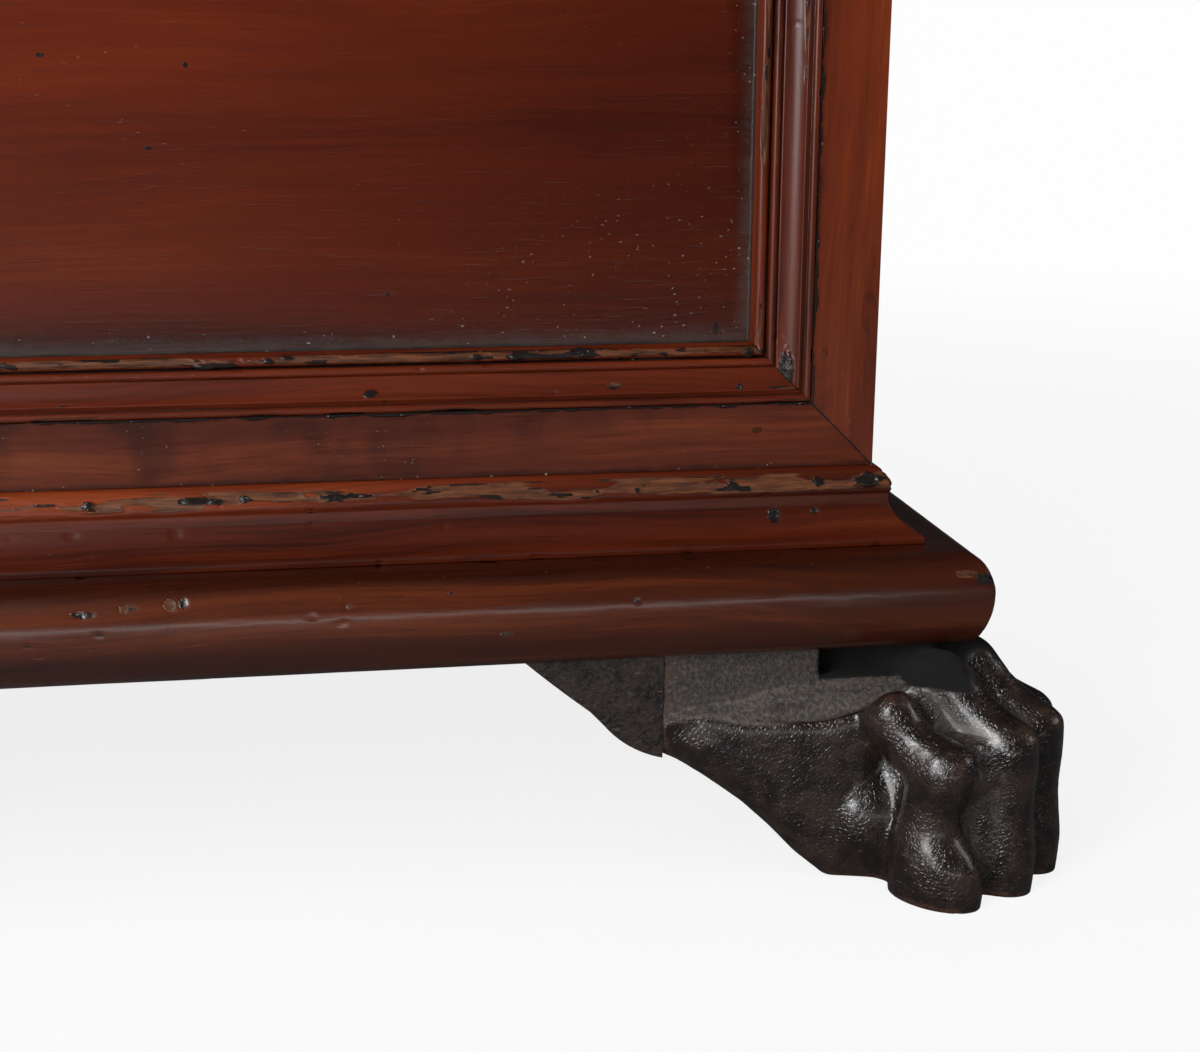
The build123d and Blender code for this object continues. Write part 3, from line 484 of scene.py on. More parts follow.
def rough(points, size, seed, octaves=3):
    """Fractal noise about 0, from -0.5 to 0.5, for lumps of a size in metres."""
    total, weight = np.zeros(len(points)), 0.0
    for octave in range(octaves):
        gain = 0.5 ** octave
        total += gain * (lattice(points * (2 ** octave / np.array(size)), seed + octave) - 0.5)
        weight += gain
    return total / weight


def ease(low, high, values):
    """0 below the low value, 1 above the high one, and smooth between them."""
    share = np.clip((values - low) / (high - low), 0, 1)
    return share * share * (3 - 2 * share)


def points_of(mesh):
    """A mesh's points and their normals."""
    points = np.zeros(len(mesh.vertices) * 3)
    normals = np.zeros(len(mesh.vertices) * 3)
    mesh.vertices.foreach_get("co", points)
    mesh.vertex_normals.foreach_get("vector", normals)
    return points.reshape(-1, 3), normals.reshape(-1, 3)


def set_points(mesh, points):
    """Move a mesh's points."""
    mesh.vertices.foreach_set("co", points.ravel())
    mesh.update()


def set_mask(mesh, name, values):
    """Keep one value per point for the material to read."""
    mask = mesh.attributes.get(name) or mesh.attributes.new(name, "FLOAT", "POINT")
    mask.data.foreach_set("value", np.clip(values, 0, 1).astype(np.float32))


def crests(mesh, rounds):
    """How far each point stands out of its smoothed surroundings, in metres."""
    points, normals = points_of(mesh)
    pairs = np.zeros(len(mesh.edges) * 2, np.int32)
    mesh.edges.foreach_get("vertices", pairs)
    first, second = pairs[0::2], pairs[1::2]
    count = np.bincount(pairs, minlength=len(points))[:, None]
    smooth = points.copy()
    for _ in range(rounds):
        total = np.zeros_like(smooth)
        for axis in range(3):
            total[:, axis] = np.bincount(first, smooth[second, axis], len(points))
            total[:, axis] += np.bincount(second, smooth[first, axis], len(points))
        smooth = 0.5 * smooth + 0.5 * total / count
    return ((points - smooth) * normals).sum(1)


def add_ring(form, corners):
    """A closed loop of edges through given corners."""
    ring = [form.verts.new(corner) for corner in corners]
    return [form.edges.new(pair) for pair in zip(ring, ring[1:] + ring[:1])]


def add_loft(form, sections):
    """A closed solid through a row of sections that have equal numbers of corners."""
    loops = [add_ring(form, section) for section in sections]
    for first, second in zip(loops, loops[1:]):
        bmesh.ops.bridge_loops(form, edges=first + second)
    for end in (loops[0], loops[-1]):
        bmesh.ops.contextual_create(form, geom=end)


def oval(centre, side_way, depth_way, half_width, half_depth, count=18):
    """Points of an oval set square to a toe."""
    turns = [index * math.tau / count for index in range(count)]
    return [
        centre + side_way * (half_width * math.cos(a)) + depth_way * (half_depth * math.sin(a))
        for a in turns
    ]


SIDEWAYS = Vector((0, 1, 0))
SLOPE_DOWN = Vector((1, 0, -1)).normalized()
SLOPE_OUT = Vector((1, 0, 1)).normalized()
# Toes in sections: place along, how far out the back or front stands, half width, half depth.
OUTER_UPPER = (
    (-50, 108, 6, 8), (-47, 115, 11, 14), (-42, 118.6, 13.5, 17), (-35, 118.2, 13.5, 17),
    (-27, 116.6, 13, 16), (-19, 118, 13.5, 17), (-10, 122.3, 15, 18), (-2, 127, 16.5, 20),
    (6, 128, 16.5, 20), (12, 124.8, 15, 18), (17, 117, 12, 14),
)
OUTER_LOWER = (
    (84, 93, 12, 14), (76, 97, 14.5, 19), (68, 94, 14, 19), (56, 89, 13, 17), (46, 87.5, 13, 17),
    (38, 90, 14.5, 19), (31, 97, 16.5, 24), (22, 102.5, 18, 27), (9, 104.5, 18, 28), (-4, 103, 16.5, 27),
)
INNER_UPPER = (
    (-58, 123, 6, 8), (-54, 130, 11, 14), (-48, 136, 13.5, 16), (-40, 138.5, 14, 17.5),
    (-30, 137.8, 13.5, 16.5), (-20, 137.6, 13.5, 16.5), (-10, 139.2, 14, 17.5), (0, 142.3, 15, 19),
    (9, 146.2, 16, 20), (17, 146.8, 15.5, 18.5), (24, 141, 13, 14),
)
INNER_LOWER = (
    (88, 114, 12, 14), (80, 117, 14.5, 18), (70, 117, 14.5, 18), (58, 116, 13.5, 16.5),
    (46, 116, 13.5, 16), (34, 117.5, 14.5, 18), (22, 119, 16.5, 22), (9, 118.5, 17, 24),
    (-4, 117.5, 16, 23),
)
TOES = ((52.5, OUTER_UPPER, OUTER_LOWER), (17.5, INNER_UPPER, INNER_LOWER))
# Webs and skirts between the toes: side place, how far under the crests, and half width.
WEBS = ((35, 29, 11), (20, 13, 17), (0, 10, 10))
# Palm sections: height, back, front, half width and how round its corners are.
PALM = ((-4, 8, 80, 50, 22), (14, 2, 82, 55, 26), (46, -6, 80, 54, 28), (80, -20, 66, 45, 22),
        (104, -26, 48, 28, 14), (112, -20, 48, 18, 8), (134, -10, 50, 12, 6))
# Arm sections: distance from the corner, underside, how far the flank stands out, the
# ridge along it, a second smaller ridge behind that, and the foot of the block.
ARM = (
    (-22, -4, 52, 110, 108, 111), (-8, -4, 57, 109, 106, 111), (4, -4, 60, 107, 105, 111),
    (18, -4, 65, 101, 104, 111), (34, -3, 62.5, 95.5, 104, 111),
    (42, 4, 61, 94, 105, 111), (52, 12, 59, 93.5, 105, 110), (66, 27, 56, 93, 103, 108),
    (82, 42, 53, 93.5, 97, 104), (104, 58, 49, 97, 96, 100), (118, 66, 44, 94, 94, 97),
    (134, 73, 40.5, 88, 88, 92),
)
ARM_END = 126.7
ARM_BACK = 2.0
BLOCK_FACE = 39.0
NOTCH_END = 37.5
NOTCH_FACE = 24.0
NOTCH_FLOOR = 112.5
CORE_LOW, CORE_HIGH = 95, 136
WEB_DEPTH = 14
HEEL = (13, 46, 31)
HEEL_SIZE = (31, 27, 38)
FOOT_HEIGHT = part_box("base_rail_front")[0].z - 0.0003
SUNK_IN_BASE = 0.0024


def rounded_slab(height, back, front, half_width, radius, count=5):
    """A level rounded rectangle of the palm."""
    corners = []
    for quarter, (x, y) in enumerate(((front, half_width), (back, half_width),
                                      (back, -half_width), (front, -half_width))):
        inner = (x - math.copysign(radius, x - (back + front) / 2), y - math.copysign(radius, y))
        for step in range(count):
            turn = (quarter + step / (count - 1)) * math.pi / 2
            corners.append(Vector((inner[0] + radius * math.cos(turn),
                                   inner[1] + radius * math.sin(turn), height)) * MM)
    return corners


def add_toe(form, side, upper, lower):
    """A toe's two joints, one down the slope of the foot and one upright."""
    add_loft(form, [
        oval((SLOPE_DOWN * down + SLOPE_OUT * (out - depth) + SIDEWAYS * side) * MM,
             SIDEWAYS, SLOPE_OUT, width * MM, depth * MM)
        for down, out, width, depth in upper
    ])
    add_loft(form, [
        oval(Vector((front - depth, side, height)) * MM, SIDEWAYS, Vector((1, 0, 0)),
             width * MM, depth * MM)
        for height, front, width, depth in lower
    ])


def add_arm(form, foot, run, out):
    """An arm from its sections, with a scooped shelf over its flank, a block and a heel."""
    up = Vector((0, 0, 1))
    sections = []
    for distance, under, flank, ridge, rib, shelf in ARM:
        scoop = (flank - 3 + BLOCK_FACE + 8) / 2
        profile = (
            (ARM_BACK, under), (flank - 9, under), (flank - 2.5, under + 5), (flank, under + 14),
            (flank + 1, (under + ridge) / 2), (flank - 0.5, ridge - 8), (flank - 2, ridge),
            (flank - 4, ridge + 1), (scoop, min(ridge, rib) - 5), (BLOCK_FACE + 6, rib + 2),
            (BLOCK_FACE + 3.5, rib), (BLOCK_FACE, shelf), (BLOCK_FACE, NOTCH_FLOOR),
            (ARM_BACK, NOTCH_FLOOR),
        )
        sections.append([(foot + run * distance + out * p + up * z) * MM for p, z in profile])
    add_loft(form, sections)
    for start, end, face in ((-26, NOTCH_END + 4, NOTCH_FACE), (NOTCH_END, 134, BLOCK_FACE)):
        core = ((ARM_BACK, CORE_LOW), (face, CORE_LOW), (face, CORE_HIGH), (ARM_BACK, CORE_HIGH))
        add_loft(form, [
            [(foot + run * distance + out * p + up * z) * MM for p, z in core]
            for distance in (start, end)
        ])
    pad = bmesh.ops.create_uvsphere(form, u_segments=32, v_segments=16, radius=1.0)["verts"]
    bmesh.ops.scale(form, verts=pad, vec=Vector(HEEL_SIZE) * MM)
    bmesh.ops.translate(form, verts=pad, vec=(foot + run * HEEL[0] + out * HEEL[1] + up * HEEL[2]) * MM)


def trim(form, point, away):
    """Saw a solid off at a plane and close it."""
    bmesh.ops.bisect_plane(form, geom=form.verts[:] + form.edges[:] + form.faces[:], plane_co=point,
                           plane_no=away, clear_outer=True)
    bmesh.ops.holes_fill(form, edges=[edge for edge in form.edges if edge.is_boundary])


def carve_paw(name, arms):
    """A paw looking along +X, with its origin on the floor under the corner it carries."""
    form = bmesh.new()
    add_loft(form, [rounded_slab(*section) for section in PALM])
    for toe_side, upper, lower in TOES:
        for side in (-toe_side, toe_side):
            add_toe(form, side, upper, lower)
    for web_side, sunk, half_width in WEBS:
        for side in sorted({-web_side, web_side}):
            upper = [(down, out - sunk - 3, half_width, depth) for down, out, _, depth in INNER_UPPER[2:]]
            lower = [(height, front - sunk, half_width, WEB_DEPTH) for height, front, _, _ in INNER_LOWER]
            add_toe(form, side, upper, lower)
    for foot, run, out in arms:
        add_arm(form, foot, run, out)
    bmesh.ops.recalc_face_normals(form, faces=form.faces)
    rough_mesh = bpy.data.meshes.new(name)
    keep(form, rough_mesh)
    block = add_object(name + "_block", rough_mesh)
    skin = block.modifiers.new("skin", "REMESH")
    skin.mode = "VOXEL"
    skin.voxel_size = PAW_VOXEL
    carved = bpy.data.meshes.new_from_object(block.evaluated_get(bpy.context.evaluated_depsgraph_get()))
    bpy.data.objects.remove(block)
    form = bmesh.new()
    form.from_mesh(carved)
    for _ in range(SMOOTHING_ROUNDS):
        bmesh.ops.smooth_vert(form, verts=form.verts, factor=0.5, use_axis_x=True, use_axis_y=True,
                              use_axis_z=True)
    keep(form, carved)
    return carved


def work_paw(mesh, arms):
    """Ease a paw's grooves, mark it by tool and wear, saw it to size and map dust, wear and the painted
    shade of its notch.
    """
    points, normals = points_of(mesh)
    groove = np.clip(-crests(mesh, 45), 0, 0.006)
    points += normals * (groove * ease(0.0, 0.02, points[:, 2]) * 0.3)[:, None]
    set_points(mesh, points)
    _, normals = points_of(mesh)
    out = 0.6 * MM * rough(points, 0.022, 11) + 0.3 * MM * rough(points, 0.006, 23)
    dents = ease(0.24, 0.36, rough(points, 0.009, 57, 2))
    out -= 0.45 * MM * dents
    points += normals * out[:, None]
    set_points(mesh, points)
    form = bmesh.new()
    form.from_mesh(mesh)
    trim(form, (0, 0, 0), (0, 0, -1))
    trim(form, (0, 0, FOOT_HEIGHT + SUNK_IN_BASE), (0, 0, 1))
    for foot, run, _ in arms:
        trim(form, (foot + run * ARM_END) * MM, run)
    bmesh.ops.triangulate(form, faces=[face for face in form.faces if len(face.verts) > 4])
    keep(form, mesh)
    points, normals = points_of(mesh)
    fine, broad = crests(mesh, 6), crests(mesh, 60)
    dusty = ease(0.7 * MM, 3.0 * MM, -broad) * 0.5
    notch_shade = np.zeros(len(points))
    for web_side in (37, 30, 0):
        valley = 1 - ease(3 * MM, 8 * MM, np.abs(np.abs(points[:, 1]) - web_side * MM))
        dusty = np.maximum(dusty, 0.5 * valley * ease(-1.5 * MM, 1.0 * MM, -broad))
    joint = np.zeros(len(points))
    for foot, run, side in arms:
        from_foot = points - np.array(foot) * MM
        distance, stand = from_foot @ np.array(run), from_foot @ np.array(side)
        on_arm = ease(-0.03, -0.02, distance) * ease(0.0, 0.03, stand)
        ledge = ease(0.15, 0.5, normals[:, 2]) * ease(0.083, 0.09, points[:, 2])
        ledge *= 1 - ease(0.05, 0.058, stand - 0.12 * np.clip(0.03 - distance, 0, 1))
        block = ease(0.092, 0.1, points[:, 2]) * (1 - ease(0.0405, 0.043, stand))
        dusty = np.maximum(dusty, on_arm * np.maximum(ledge, block * 0.6))
        # The notch under the base is painted shade: black, dustless and matt, kept in the wax mask.
        notch = ease(0.1108, 0.1122, points[:, 2]) * (1 - ease(0.0372, 0.0385, distance))
        notch_shade = np.maximum(notch_shade, notch * ease(0.0, 0.01, stand) * (1 - ease(0.038, 0.042, stand)))
        joint = np.maximum(joint, ease(0.119, 0.1235, distance) * ease(0.07, 0.1, points[:, 2]))
    set_mask(mesh, "dust", dusty * (1 - notch_shade))
    worn = ease(0.05 * MM, 0.22 * MM, fine) * 0.5 + ease(1.5 * MM, 4 * MM, broad) * 0.25
    set_mask(mesh, "bare", np.maximum(worn, joint))
    # On a paw the wax mask holds the notch's painted shade, not wax.
    set_mask(mesh, "wax", notch_shade)


def show_piece(name, mesh, body, stands_for, material):
    """Put a finished mesh in the scene as one piece of the chest."""
    mesh.shade_smooth()
    mesh.materials.clear()
    mesh.materials.append(material)
    piece = add_object(name, mesh)
    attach(piece, body)
    if stands_for:
        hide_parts(*stands_for)
    return piece


def make_black_lacquer(name, dulled):
    """Nearly black lacquer over walnut: glossy, crackled, worn brown, dusty in its hollows.
    Where a paw keeps the mask of wax, which on a paw is the notch under the base, it is painted black as
    shade and without gloss."""
    material, tree, shader = start_material(name)
    where = place_on(tree)
    worn = mask(tree, "bare")
    dust = calc(tree, "MAXIMUM", mask(tree, "dust"), dulled)
    dirt = clouds(tree, where, 60.0, (1, 1, 1), 5.0, 0.6)
    grime = clouds(tree, where, 420.0, (1, 1, 1), 4.0, 0.7, (1, 5, 2))
    brown = spread(tree, calc(tree, "MULTIPLY_ADD", worn, 0.36, dirt), 0.62, 0.9)
    colour = tint(tree, spread(tree, dirt, 0.35, 0.65), (0.0062, 0.0043, 0.0038, 1),
                  (0.019, 0.0115, 0.0088, 1))
    colour = tint(tree, calc(tree, "MULTIPLY", brown, 0.8), colour, (0.05, 0.021, 0.0125, 1))
    flecks = spread(tree, clouds(tree, where, 190.0, (1, 1, 2.2), 2.0, 0.6, (4, 4, 1)), 0.66, 0.72)
    colour = tint(tree, calc(tree, "MULTIPLY", flecks, 0.4), colour, (0.1, 0.07, 0.052, 1))
    dusty = calc(tree, "MULTIPLY", spread(tree, sway(tree, grime, 0.5, dust), 0.2, 1.0), 0.9)
    motes = tint(tree, spread(tree, grime, 0.35, 0.7), (0.03, 0.025, 0.022, 1), (0.1, 0.083, 0.071, 1))
    colour = tint(tree, dusty, colour, motes)
    gloss = spread(tree, dirt, 0.3, 0.7, 0.14, 0.34)
    gloss = blend(tree, spread(tree, dusty, 0.0, 0.4), gloss, 0.8)
    # On a paw the wax mask holds painted shade in the notch under the base.
    notch_shade = mask(tree, "wax")
    gloss = blend(tree, notch_shade, gloss, 1.0)
    colour = tint(tree, notch_shade, colour, (0.003, 0.0028, 0.0026, 1))
    cells = put(tree, "TexVoronoi", {"Vector": where, "Scale": 420.0, "Randomness": 1.0},
                feature="DISTANCE_TO_EDGE")
    crackle = spread(tree, cells.outputs["Distance"], 0.0, 0.3)
    lumps = relief(tree, clouds(tree, where, 170.0, (1, 1, 1), 3.0, 0.6, (7, 1, 1)), 0.0014, 0.6)
    skin = relief(tree, crackle, 0.00035, 0.6 - dulled, lumps)
    grit = relief(tree, calc(tree, "MULTIPLY", grime, dusty), 0.0012, 0.8 - dulled, skin)
    shine = calc(tree, "SUBTRACT", calc(tree, "SUBTRACT", 0.65 - dulled, dusty), notch_shade)
    shine = calc(tree, "MAXIMUM", shine, 0.0)
    wire(tree, shader.inputs, {"Base Color": colour, "Roughness": gloss, "Normal": grit,
                               "Coat Weight": shine})
    shader.inputs["Coat Roughness"].default_value = 0.18
    return material


black_lacquer = make_black_lacquer("black_lacquer", 0.0)
dull_lacquer = make_black_lacquer("dull_black_lacquer", 0.36)
half_turn = math.sqrt(0.5)
front_arms = (
    (Vector((0, 0, 0)), Vector((-half_turn, -half_turn, 0)), Vector((half_turn, -half_turn, 0))),
    (Vector((0, 0, 0)), Vector((-half_turn, half_turn, 0)), Vector((half_turn, half_turn, 0))),
)
REAR_ARM_SETBACK = 28.0
rear_arms = ((Vector((0, -REAR_ARM_SETBACK, 0)), Vector((0, -1, 0)), Vector((1, 0, 0))),)
PAW_HALF_WIDTH = 70.5
end_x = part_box("front_board")[1].x
rear_paw_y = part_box("paw_rear_right")[1].y - PAW_HALF_WIDTH * MM
at_corner = Matrix.Translation((end_x, FRONT_Y, 0)) @ Matrix.Rotation(-math.pi / 4, 4, "Z")
at_back = Matrix.Translation((end_x, rear_paw_y, 0))

for end, arms, place in (("front", front_arms, at_corner), ("rear", rear_arms, at_back)):
    right_paw = carve_paw(f"carved_paw_{end}_right", arms)
    work_paw(right_paw, arms)
    right_paw.transform(place)
    left_paw = right_paw.copy()
    left_paw.transform(Matrix.Scale(-1, 4, (1, 0, 0)))
    left_paw.flip_normals()
    for side, paw in (("right", right_paw), ("left", left_paw)):
        show_piece(f"carved_paw_{end}_{side}", paw, "chest", [f"paw_{end}_{side}"],
                   black_lacquer)


# ------------------------------------------------------------------ wing brackets
# A sawn bracket of the same black walnut stands beside each arm, glued under the base.
# It has a hollow, a small step and a swell, and was left duller than the paw.
for name, piece in nodes.items():
    if name.startswith("wing"):
        dress(piece, dull_lacquer)


# ------------------------------------------------------------------ torus of the base
# A heavy half-round moulding of walnut runs round the front and both ends of the base,
# glued to the rails and mitred at the front corners. Its face is knocked and worn.


def arc_points(start, middle, end, gap):
    """Points along the arc through three points, as complex numbers, without its first."""
    a, b, c = complex(*start), complex(*middle), complex(*end)
    ratio = (c - a) / (b - a)
    centre = a - (a - b) * (ratio - abs(ratio) ** 2) / 2j / ratio.imag
    turn = cmath.phase((c - centre) / (a - centre))
    bends_left = ((b - a).conjugate() * (c - b)).imag > 0
    if bends_left != (turn > 0):
        turn += math.tau if bends_left else -math.tau
    steps = max(2, math.ceil(abs(turn) * abs(a - centre) / gap))
    return [centre + (a - centre) * cmath.exp(1j * turn * step / steps) for step in range(1, steps + 1)]


def line_points(start, end, gap):
    """Points along a straight line, as complex numbers, without its first."""
    a, b = complex(*start), complex(*end)
    steps = max(1, math.ceil(abs(b - a) / gap))
    return [a + (b - a) * step / steps for step in range(1, steps + 1)]


def trace(start, moves, gap):
    """A section's face in millimetres: a move is a line's end, or an arc's middle and end."""
    points = [complex(*start)]
    for move in moves:
        here = (points[-1].real, points[-1].imag)
        if isinstance(move[0], tuple):
            points += arc_points(here, move[0], move[1], gap)
        else:
            points += line_points(here, move, gap)
    return points


def strip_mesh(name, face, back, cuts):
    """A closed strip of unit length along X, from its section's worn face and plain back."""
    form = bmesh.new()
    corners = [(0, point.real * MM, point.imag * MM) for point in face + [complex(*p) for p in back]]
    ring = add_ring(form, corners)
    grown = bmesh.ops.extrude_edge_only(form, edges=ring)["geom"]
    far = [part for part in grown if isinstance(part, bmesh.types.BMVert)]
    bmesh.ops.translate(form, verts=far, vec=(1, 0, 0))
    lengths = [edge for edge in form.edges if abs(edge.verts[0].co.x - edge.verts[1].co.x) > 0.5]
    bmesh.ops.subdivide_edges(form, edges=lengths, cuts=cuts, use_grid_fill=True)
    bmesh.ops.holes_fill(form, edges=[edge for edge in form.edges if edge.is_boundary])
    bmesh.ops.recalc_face_normals(form, faces=form.faces)
    mesh = bpy.data.meshes.new(name)
    keep(form, mesh)
    return mesh


def stretch(mesh, length, mitre_axis, at_start, at_end, crowding=0.0):
    """Draw a unit strip out to its length, with mitred ends. Crowding draws its points
    together towards its far end, or towards its near end where it is negative."""
    points, _ = points_of(mesh)
    share = points[:, 0].copy()
    share += crowding * share * (1 - share)
    reach = points[:, mitre_axis]
    points[:, 0] = reach * at_start * (1 - share) + (length + reach * at_end) * share
    set_points(mesh, points)


def spots_share(points, spots, seed):
    """How far each point lies inside ragged ovals: their place along, up and half sizes."""
    share = np.zeros(len(points))
    ragged = 0.9 * rough(points, (0.004, 0.002, 0.002), seed)
    for along, up, half_length, half_height in spots:
        off = np.hypot((points[:, 0] / MM - along) / half_length, (points[:, 2] / MM - up) / half_height)
        share = np.maximum(share, 1 - ease(0.6, 1.15, off + ragged))
    return share


def wear_strip(mesh, seed, wear, depth, waviness=0.35, wax_in_chips=0.5, dusty=0.25, broken=(),
               lumps=(), pits=(), soil=None):
    """Chip and wear a strip. Wear is a share for each point of its section, from 0 to 1.
    Broken spots are bare wood, lumps are drops of black wax and pits are filled with it.
    Soil_and_shade gives a share of darkening, painted shade and grime, for places along, outward and up
    the strip."""
    points, normals = points_of(mesh)
    share = wear(points[:, 1] / MM, points[:, 2] / MM)
    blocky = rough(points, (0.05, 0.007, 0.007), seed)
    chips = ease(0.0, 0.09, blocky + 0.42 * share - 0.3) * ease(0.02, 0.3, share)
    chips = np.maximum(chips, spots_share(points, broken, seed + 15))
    drops, holes = spots_share(points, lumps, seed + 17), spots_share(points, pits, seed + 19)
    torn = 0.7 + 1.1 * rough(points, (0.025, 0.0022, 0.0022), seed + 7)
    waves = waviness * MM * rough(points, (0.05, 0.012, 0.012), seed + 3)
    knocks = ease(0.29, 0.36, rough(points, (0.012, 0.009, 0.009), seed + 5, 2))
    shift = waves - depth * MM * chips * torn - 0.6 * MM * knocks * ease(0.0, 0.1, share + 0.05)
    shift += MM * drops * (0.9 + 2.2 * rough(points, 0.0035, seed + 21, 2))
    shift -= MM * holes * (0.8 + 3.0 * rough(points, 0.003, seed + 23, 2))
    points += normals * shift[:, None]
    set_points(mesh, points)
    blobs = ease(0.09, 0.13, rough(points, (0.018, 0.0035, 0.0035), seed + 9) + 0.2 * wax_in_chips - 0.12)
    seams = ease(0.12 * MM, 0.45 * MM, -crests(mesh, 8))
    set_mask(mesh, "bare", chips * (1 - 0.8 * blobs) * (1 - drops) * (1 - holes))
    rims = chips * (1 - chips) * 1.5
    wax = np.maximum(np.maximum(chips * blobs, rims), seams * 0.9)
    set_mask(mesh, "wax", np.maximum(wax, 1.2 * np.maximum(drops, holes)))
    set_mask(mesh, "dust", seams * ease(0.0, 0.2, rough(points, (0.03, 0.01, 0.01), seed + 12)) * dusty)
    # Darker in broad hollows: painted shade, kept in the grime mask.
    blotches = 0.25 * MM * rough(points, (0.06, 0.01, 0.01), seed + 25)
    grime = 0.75 * ease(0.2 * MM, 1.0 * MM, -crests(mesh, 45) + blotches)
    if soil:
        grime = np.maximum(grime, soil(*(points / MM).T))
    set_mask(mesh, "grime", grime)


def set_in_place(mesh, start, along, outward, upward):
    """Carry a strip from its own axes to its place on the chest."""
    frame_of_strip = Matrix((along, outward, upward)).transposed().to_4x4()
    form = bmesh.new()
    form.from_mesh(mesh)
    bmesh.ops.transform(form, matrix=Matrix.Translation(start) @ frame_of_strip, verts=form.verts)
    bmesh.ops.recalc_face_normals(form, faces=form.faces)
    keep(form, mesh)


EAST, NORTH, UPWARD = Vector((1, 0, 0)), Vector((0, 1, 0)), Vector((0, 0, 1))
band_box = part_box("band_bottom")
FRONT_CUTS, SIDE_CUTS = 900, 330


def three_sides(stem, face, back_front, back_side, bottom_z, seed, wear, depth, material_front,
                material_side, spots, **aging):
    """A worn moulding round the front and both ends, in place of its three CAD nodes."""
    front = strip_mesh(f"worn_{stem}_front", face, back_front, FRONT_CUTS)
    stretch(front, 2 * HALF_LENGTH, 1, -1, 1, 0.5)
    wear_strip(front, seed, wear, depth, **spots, **aging)
    set_in_place(front, (-HALF_LENGTH, FRONT_Y, bottom_z), EAST, -NORTH, UPWARD)
    show_piece(f"worn_{stem}_front", front, "chest", [f"{stem}_front"], material_front)
    for side, turn in (("right", 1), ("left", -1)):
        end = strip_mesh(f"worn_{stem}_{side}", face, back_side, SIDE_CUTS)
        stretch(end, BACK_Y - FRONT_Y, 1, -1, 0, -0.4)
        wear_strip(end, seed + turn, wear, depth, **aging)
        set_in_place(end, (turn * HALF_LENGTH, FRONT_Y, bottom_z), NORTH, turn * EAST, UPWARD)
        show_piece(f"worn_{stem}_{side}", end, "chest", [f"{stem}_{side}"], material_side)


CASSONE_RED = ((0.026, 0.0036, 0.0012, 1), (0.084, 0.0112, 0.0024, 1), (0.17, 0.029, 0.0052, 1))
TORUS_RED = ((0.014, 0.0026, 0.0012, 1), (0.04, 0.0072, 0.0021, 1), (0.088, 0.0172, 0.0038, 1))
red_x = finish_material("waxed_walnut_long", "x", CASSONE_RED)
red_y = finish_material("waxed_walnut_cross", "y", CASSONE_RED)
red_z = finish_material("waxed_walnut_upright", "z", CASSONE_RED)
torus_x = finish_material("torus_walnut_long", "x", TORUS_RED, (3, 7, 1), roughness=0.24, coat=0.7)
torus_y = finish_material("torus_walnut_cross", "y", TORUS_RED, (3, 7, 1), roughness=0.24, coat=0.7)

torus_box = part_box("torus_front")
TORUS_BOTTOM = torus_box[0].z
TORUS_HEIGHT = (torus_box[1].z - torus_box[0].z) / MM
TORUS_OUT = (FRONT_Y - torus_box[0].y) / MM
TORUS_NOSE = 15.5
TORUS_CROWN = 22.4
TORUS_SHOULDER = 28


def quarter_oval(centre, half_x, half_y, start):
    """A quarter of an oval as two arcs, from a start angle in degrees."""
    turns = [math.radians(start + share * 90) for share in (0.25, 0.5, 0.75, 1)]
    points = [(centre[0] + half_x * math.cos(a), centre[1] + half_y * math.sin(a)) for a in turns]
    return [(points[0], points[1]), (points[2], points[3])]


nose = (TORUS_OUT - TORUS_NOSE, TORUS_HEIGHT - TORUS_CROWN)
torus_face = trace(
    (nose[0], 0),
    quarter_oval(nose, TORUS_NOSE, nose[1], -90) + quarter_oval(nose, TORUS_NOSE, TORUS_CROWN, 0)
    + [(TORUS_SHOULDER, TORUS_HEIGHT)],
    1.5,
)


def torus_wear(out, up):
    """The nose of the torus is rubbed and knocked, most on its upper half."""
    return 0.06 * ease(44, 54, out) + 0.03 * ease(20, 40, up)


def torus_soil(_along, _out, up):
    """Painted shade: the torus is darkest under the moulding above it and along its foot, where little
    light reaches it.
    """
    return 0.5 * ease(45, 52, up) + 0.5 * (1 - ease(6, 27, up))


TORUS_SPOTS = {
    "broken": ((1070, 44, 5, 2), (1092, 45, 4, 3), (1520, 44, 7, 2.5), (1265, 22, 5, 1.2)),
    "pits": ((1098, 46, 2, 2.4), (1047, 42, 7, 1), (1531, 41, 6, 3), (1335, 37, 1.4, 1.2)),
}
three_sides("torus", torus_face, [(0, TORUS_HEIGHT), (0, 0)], [(0, TORUS_HEIGHT), (0, 0)], TORUS_BOTTOM,
            101, torus_wear, 0.9, torus_x, torus_y, TORUS_SPOTS, waviness=0.5, wax_in_chips=0.35,
            soil=torus_soil)

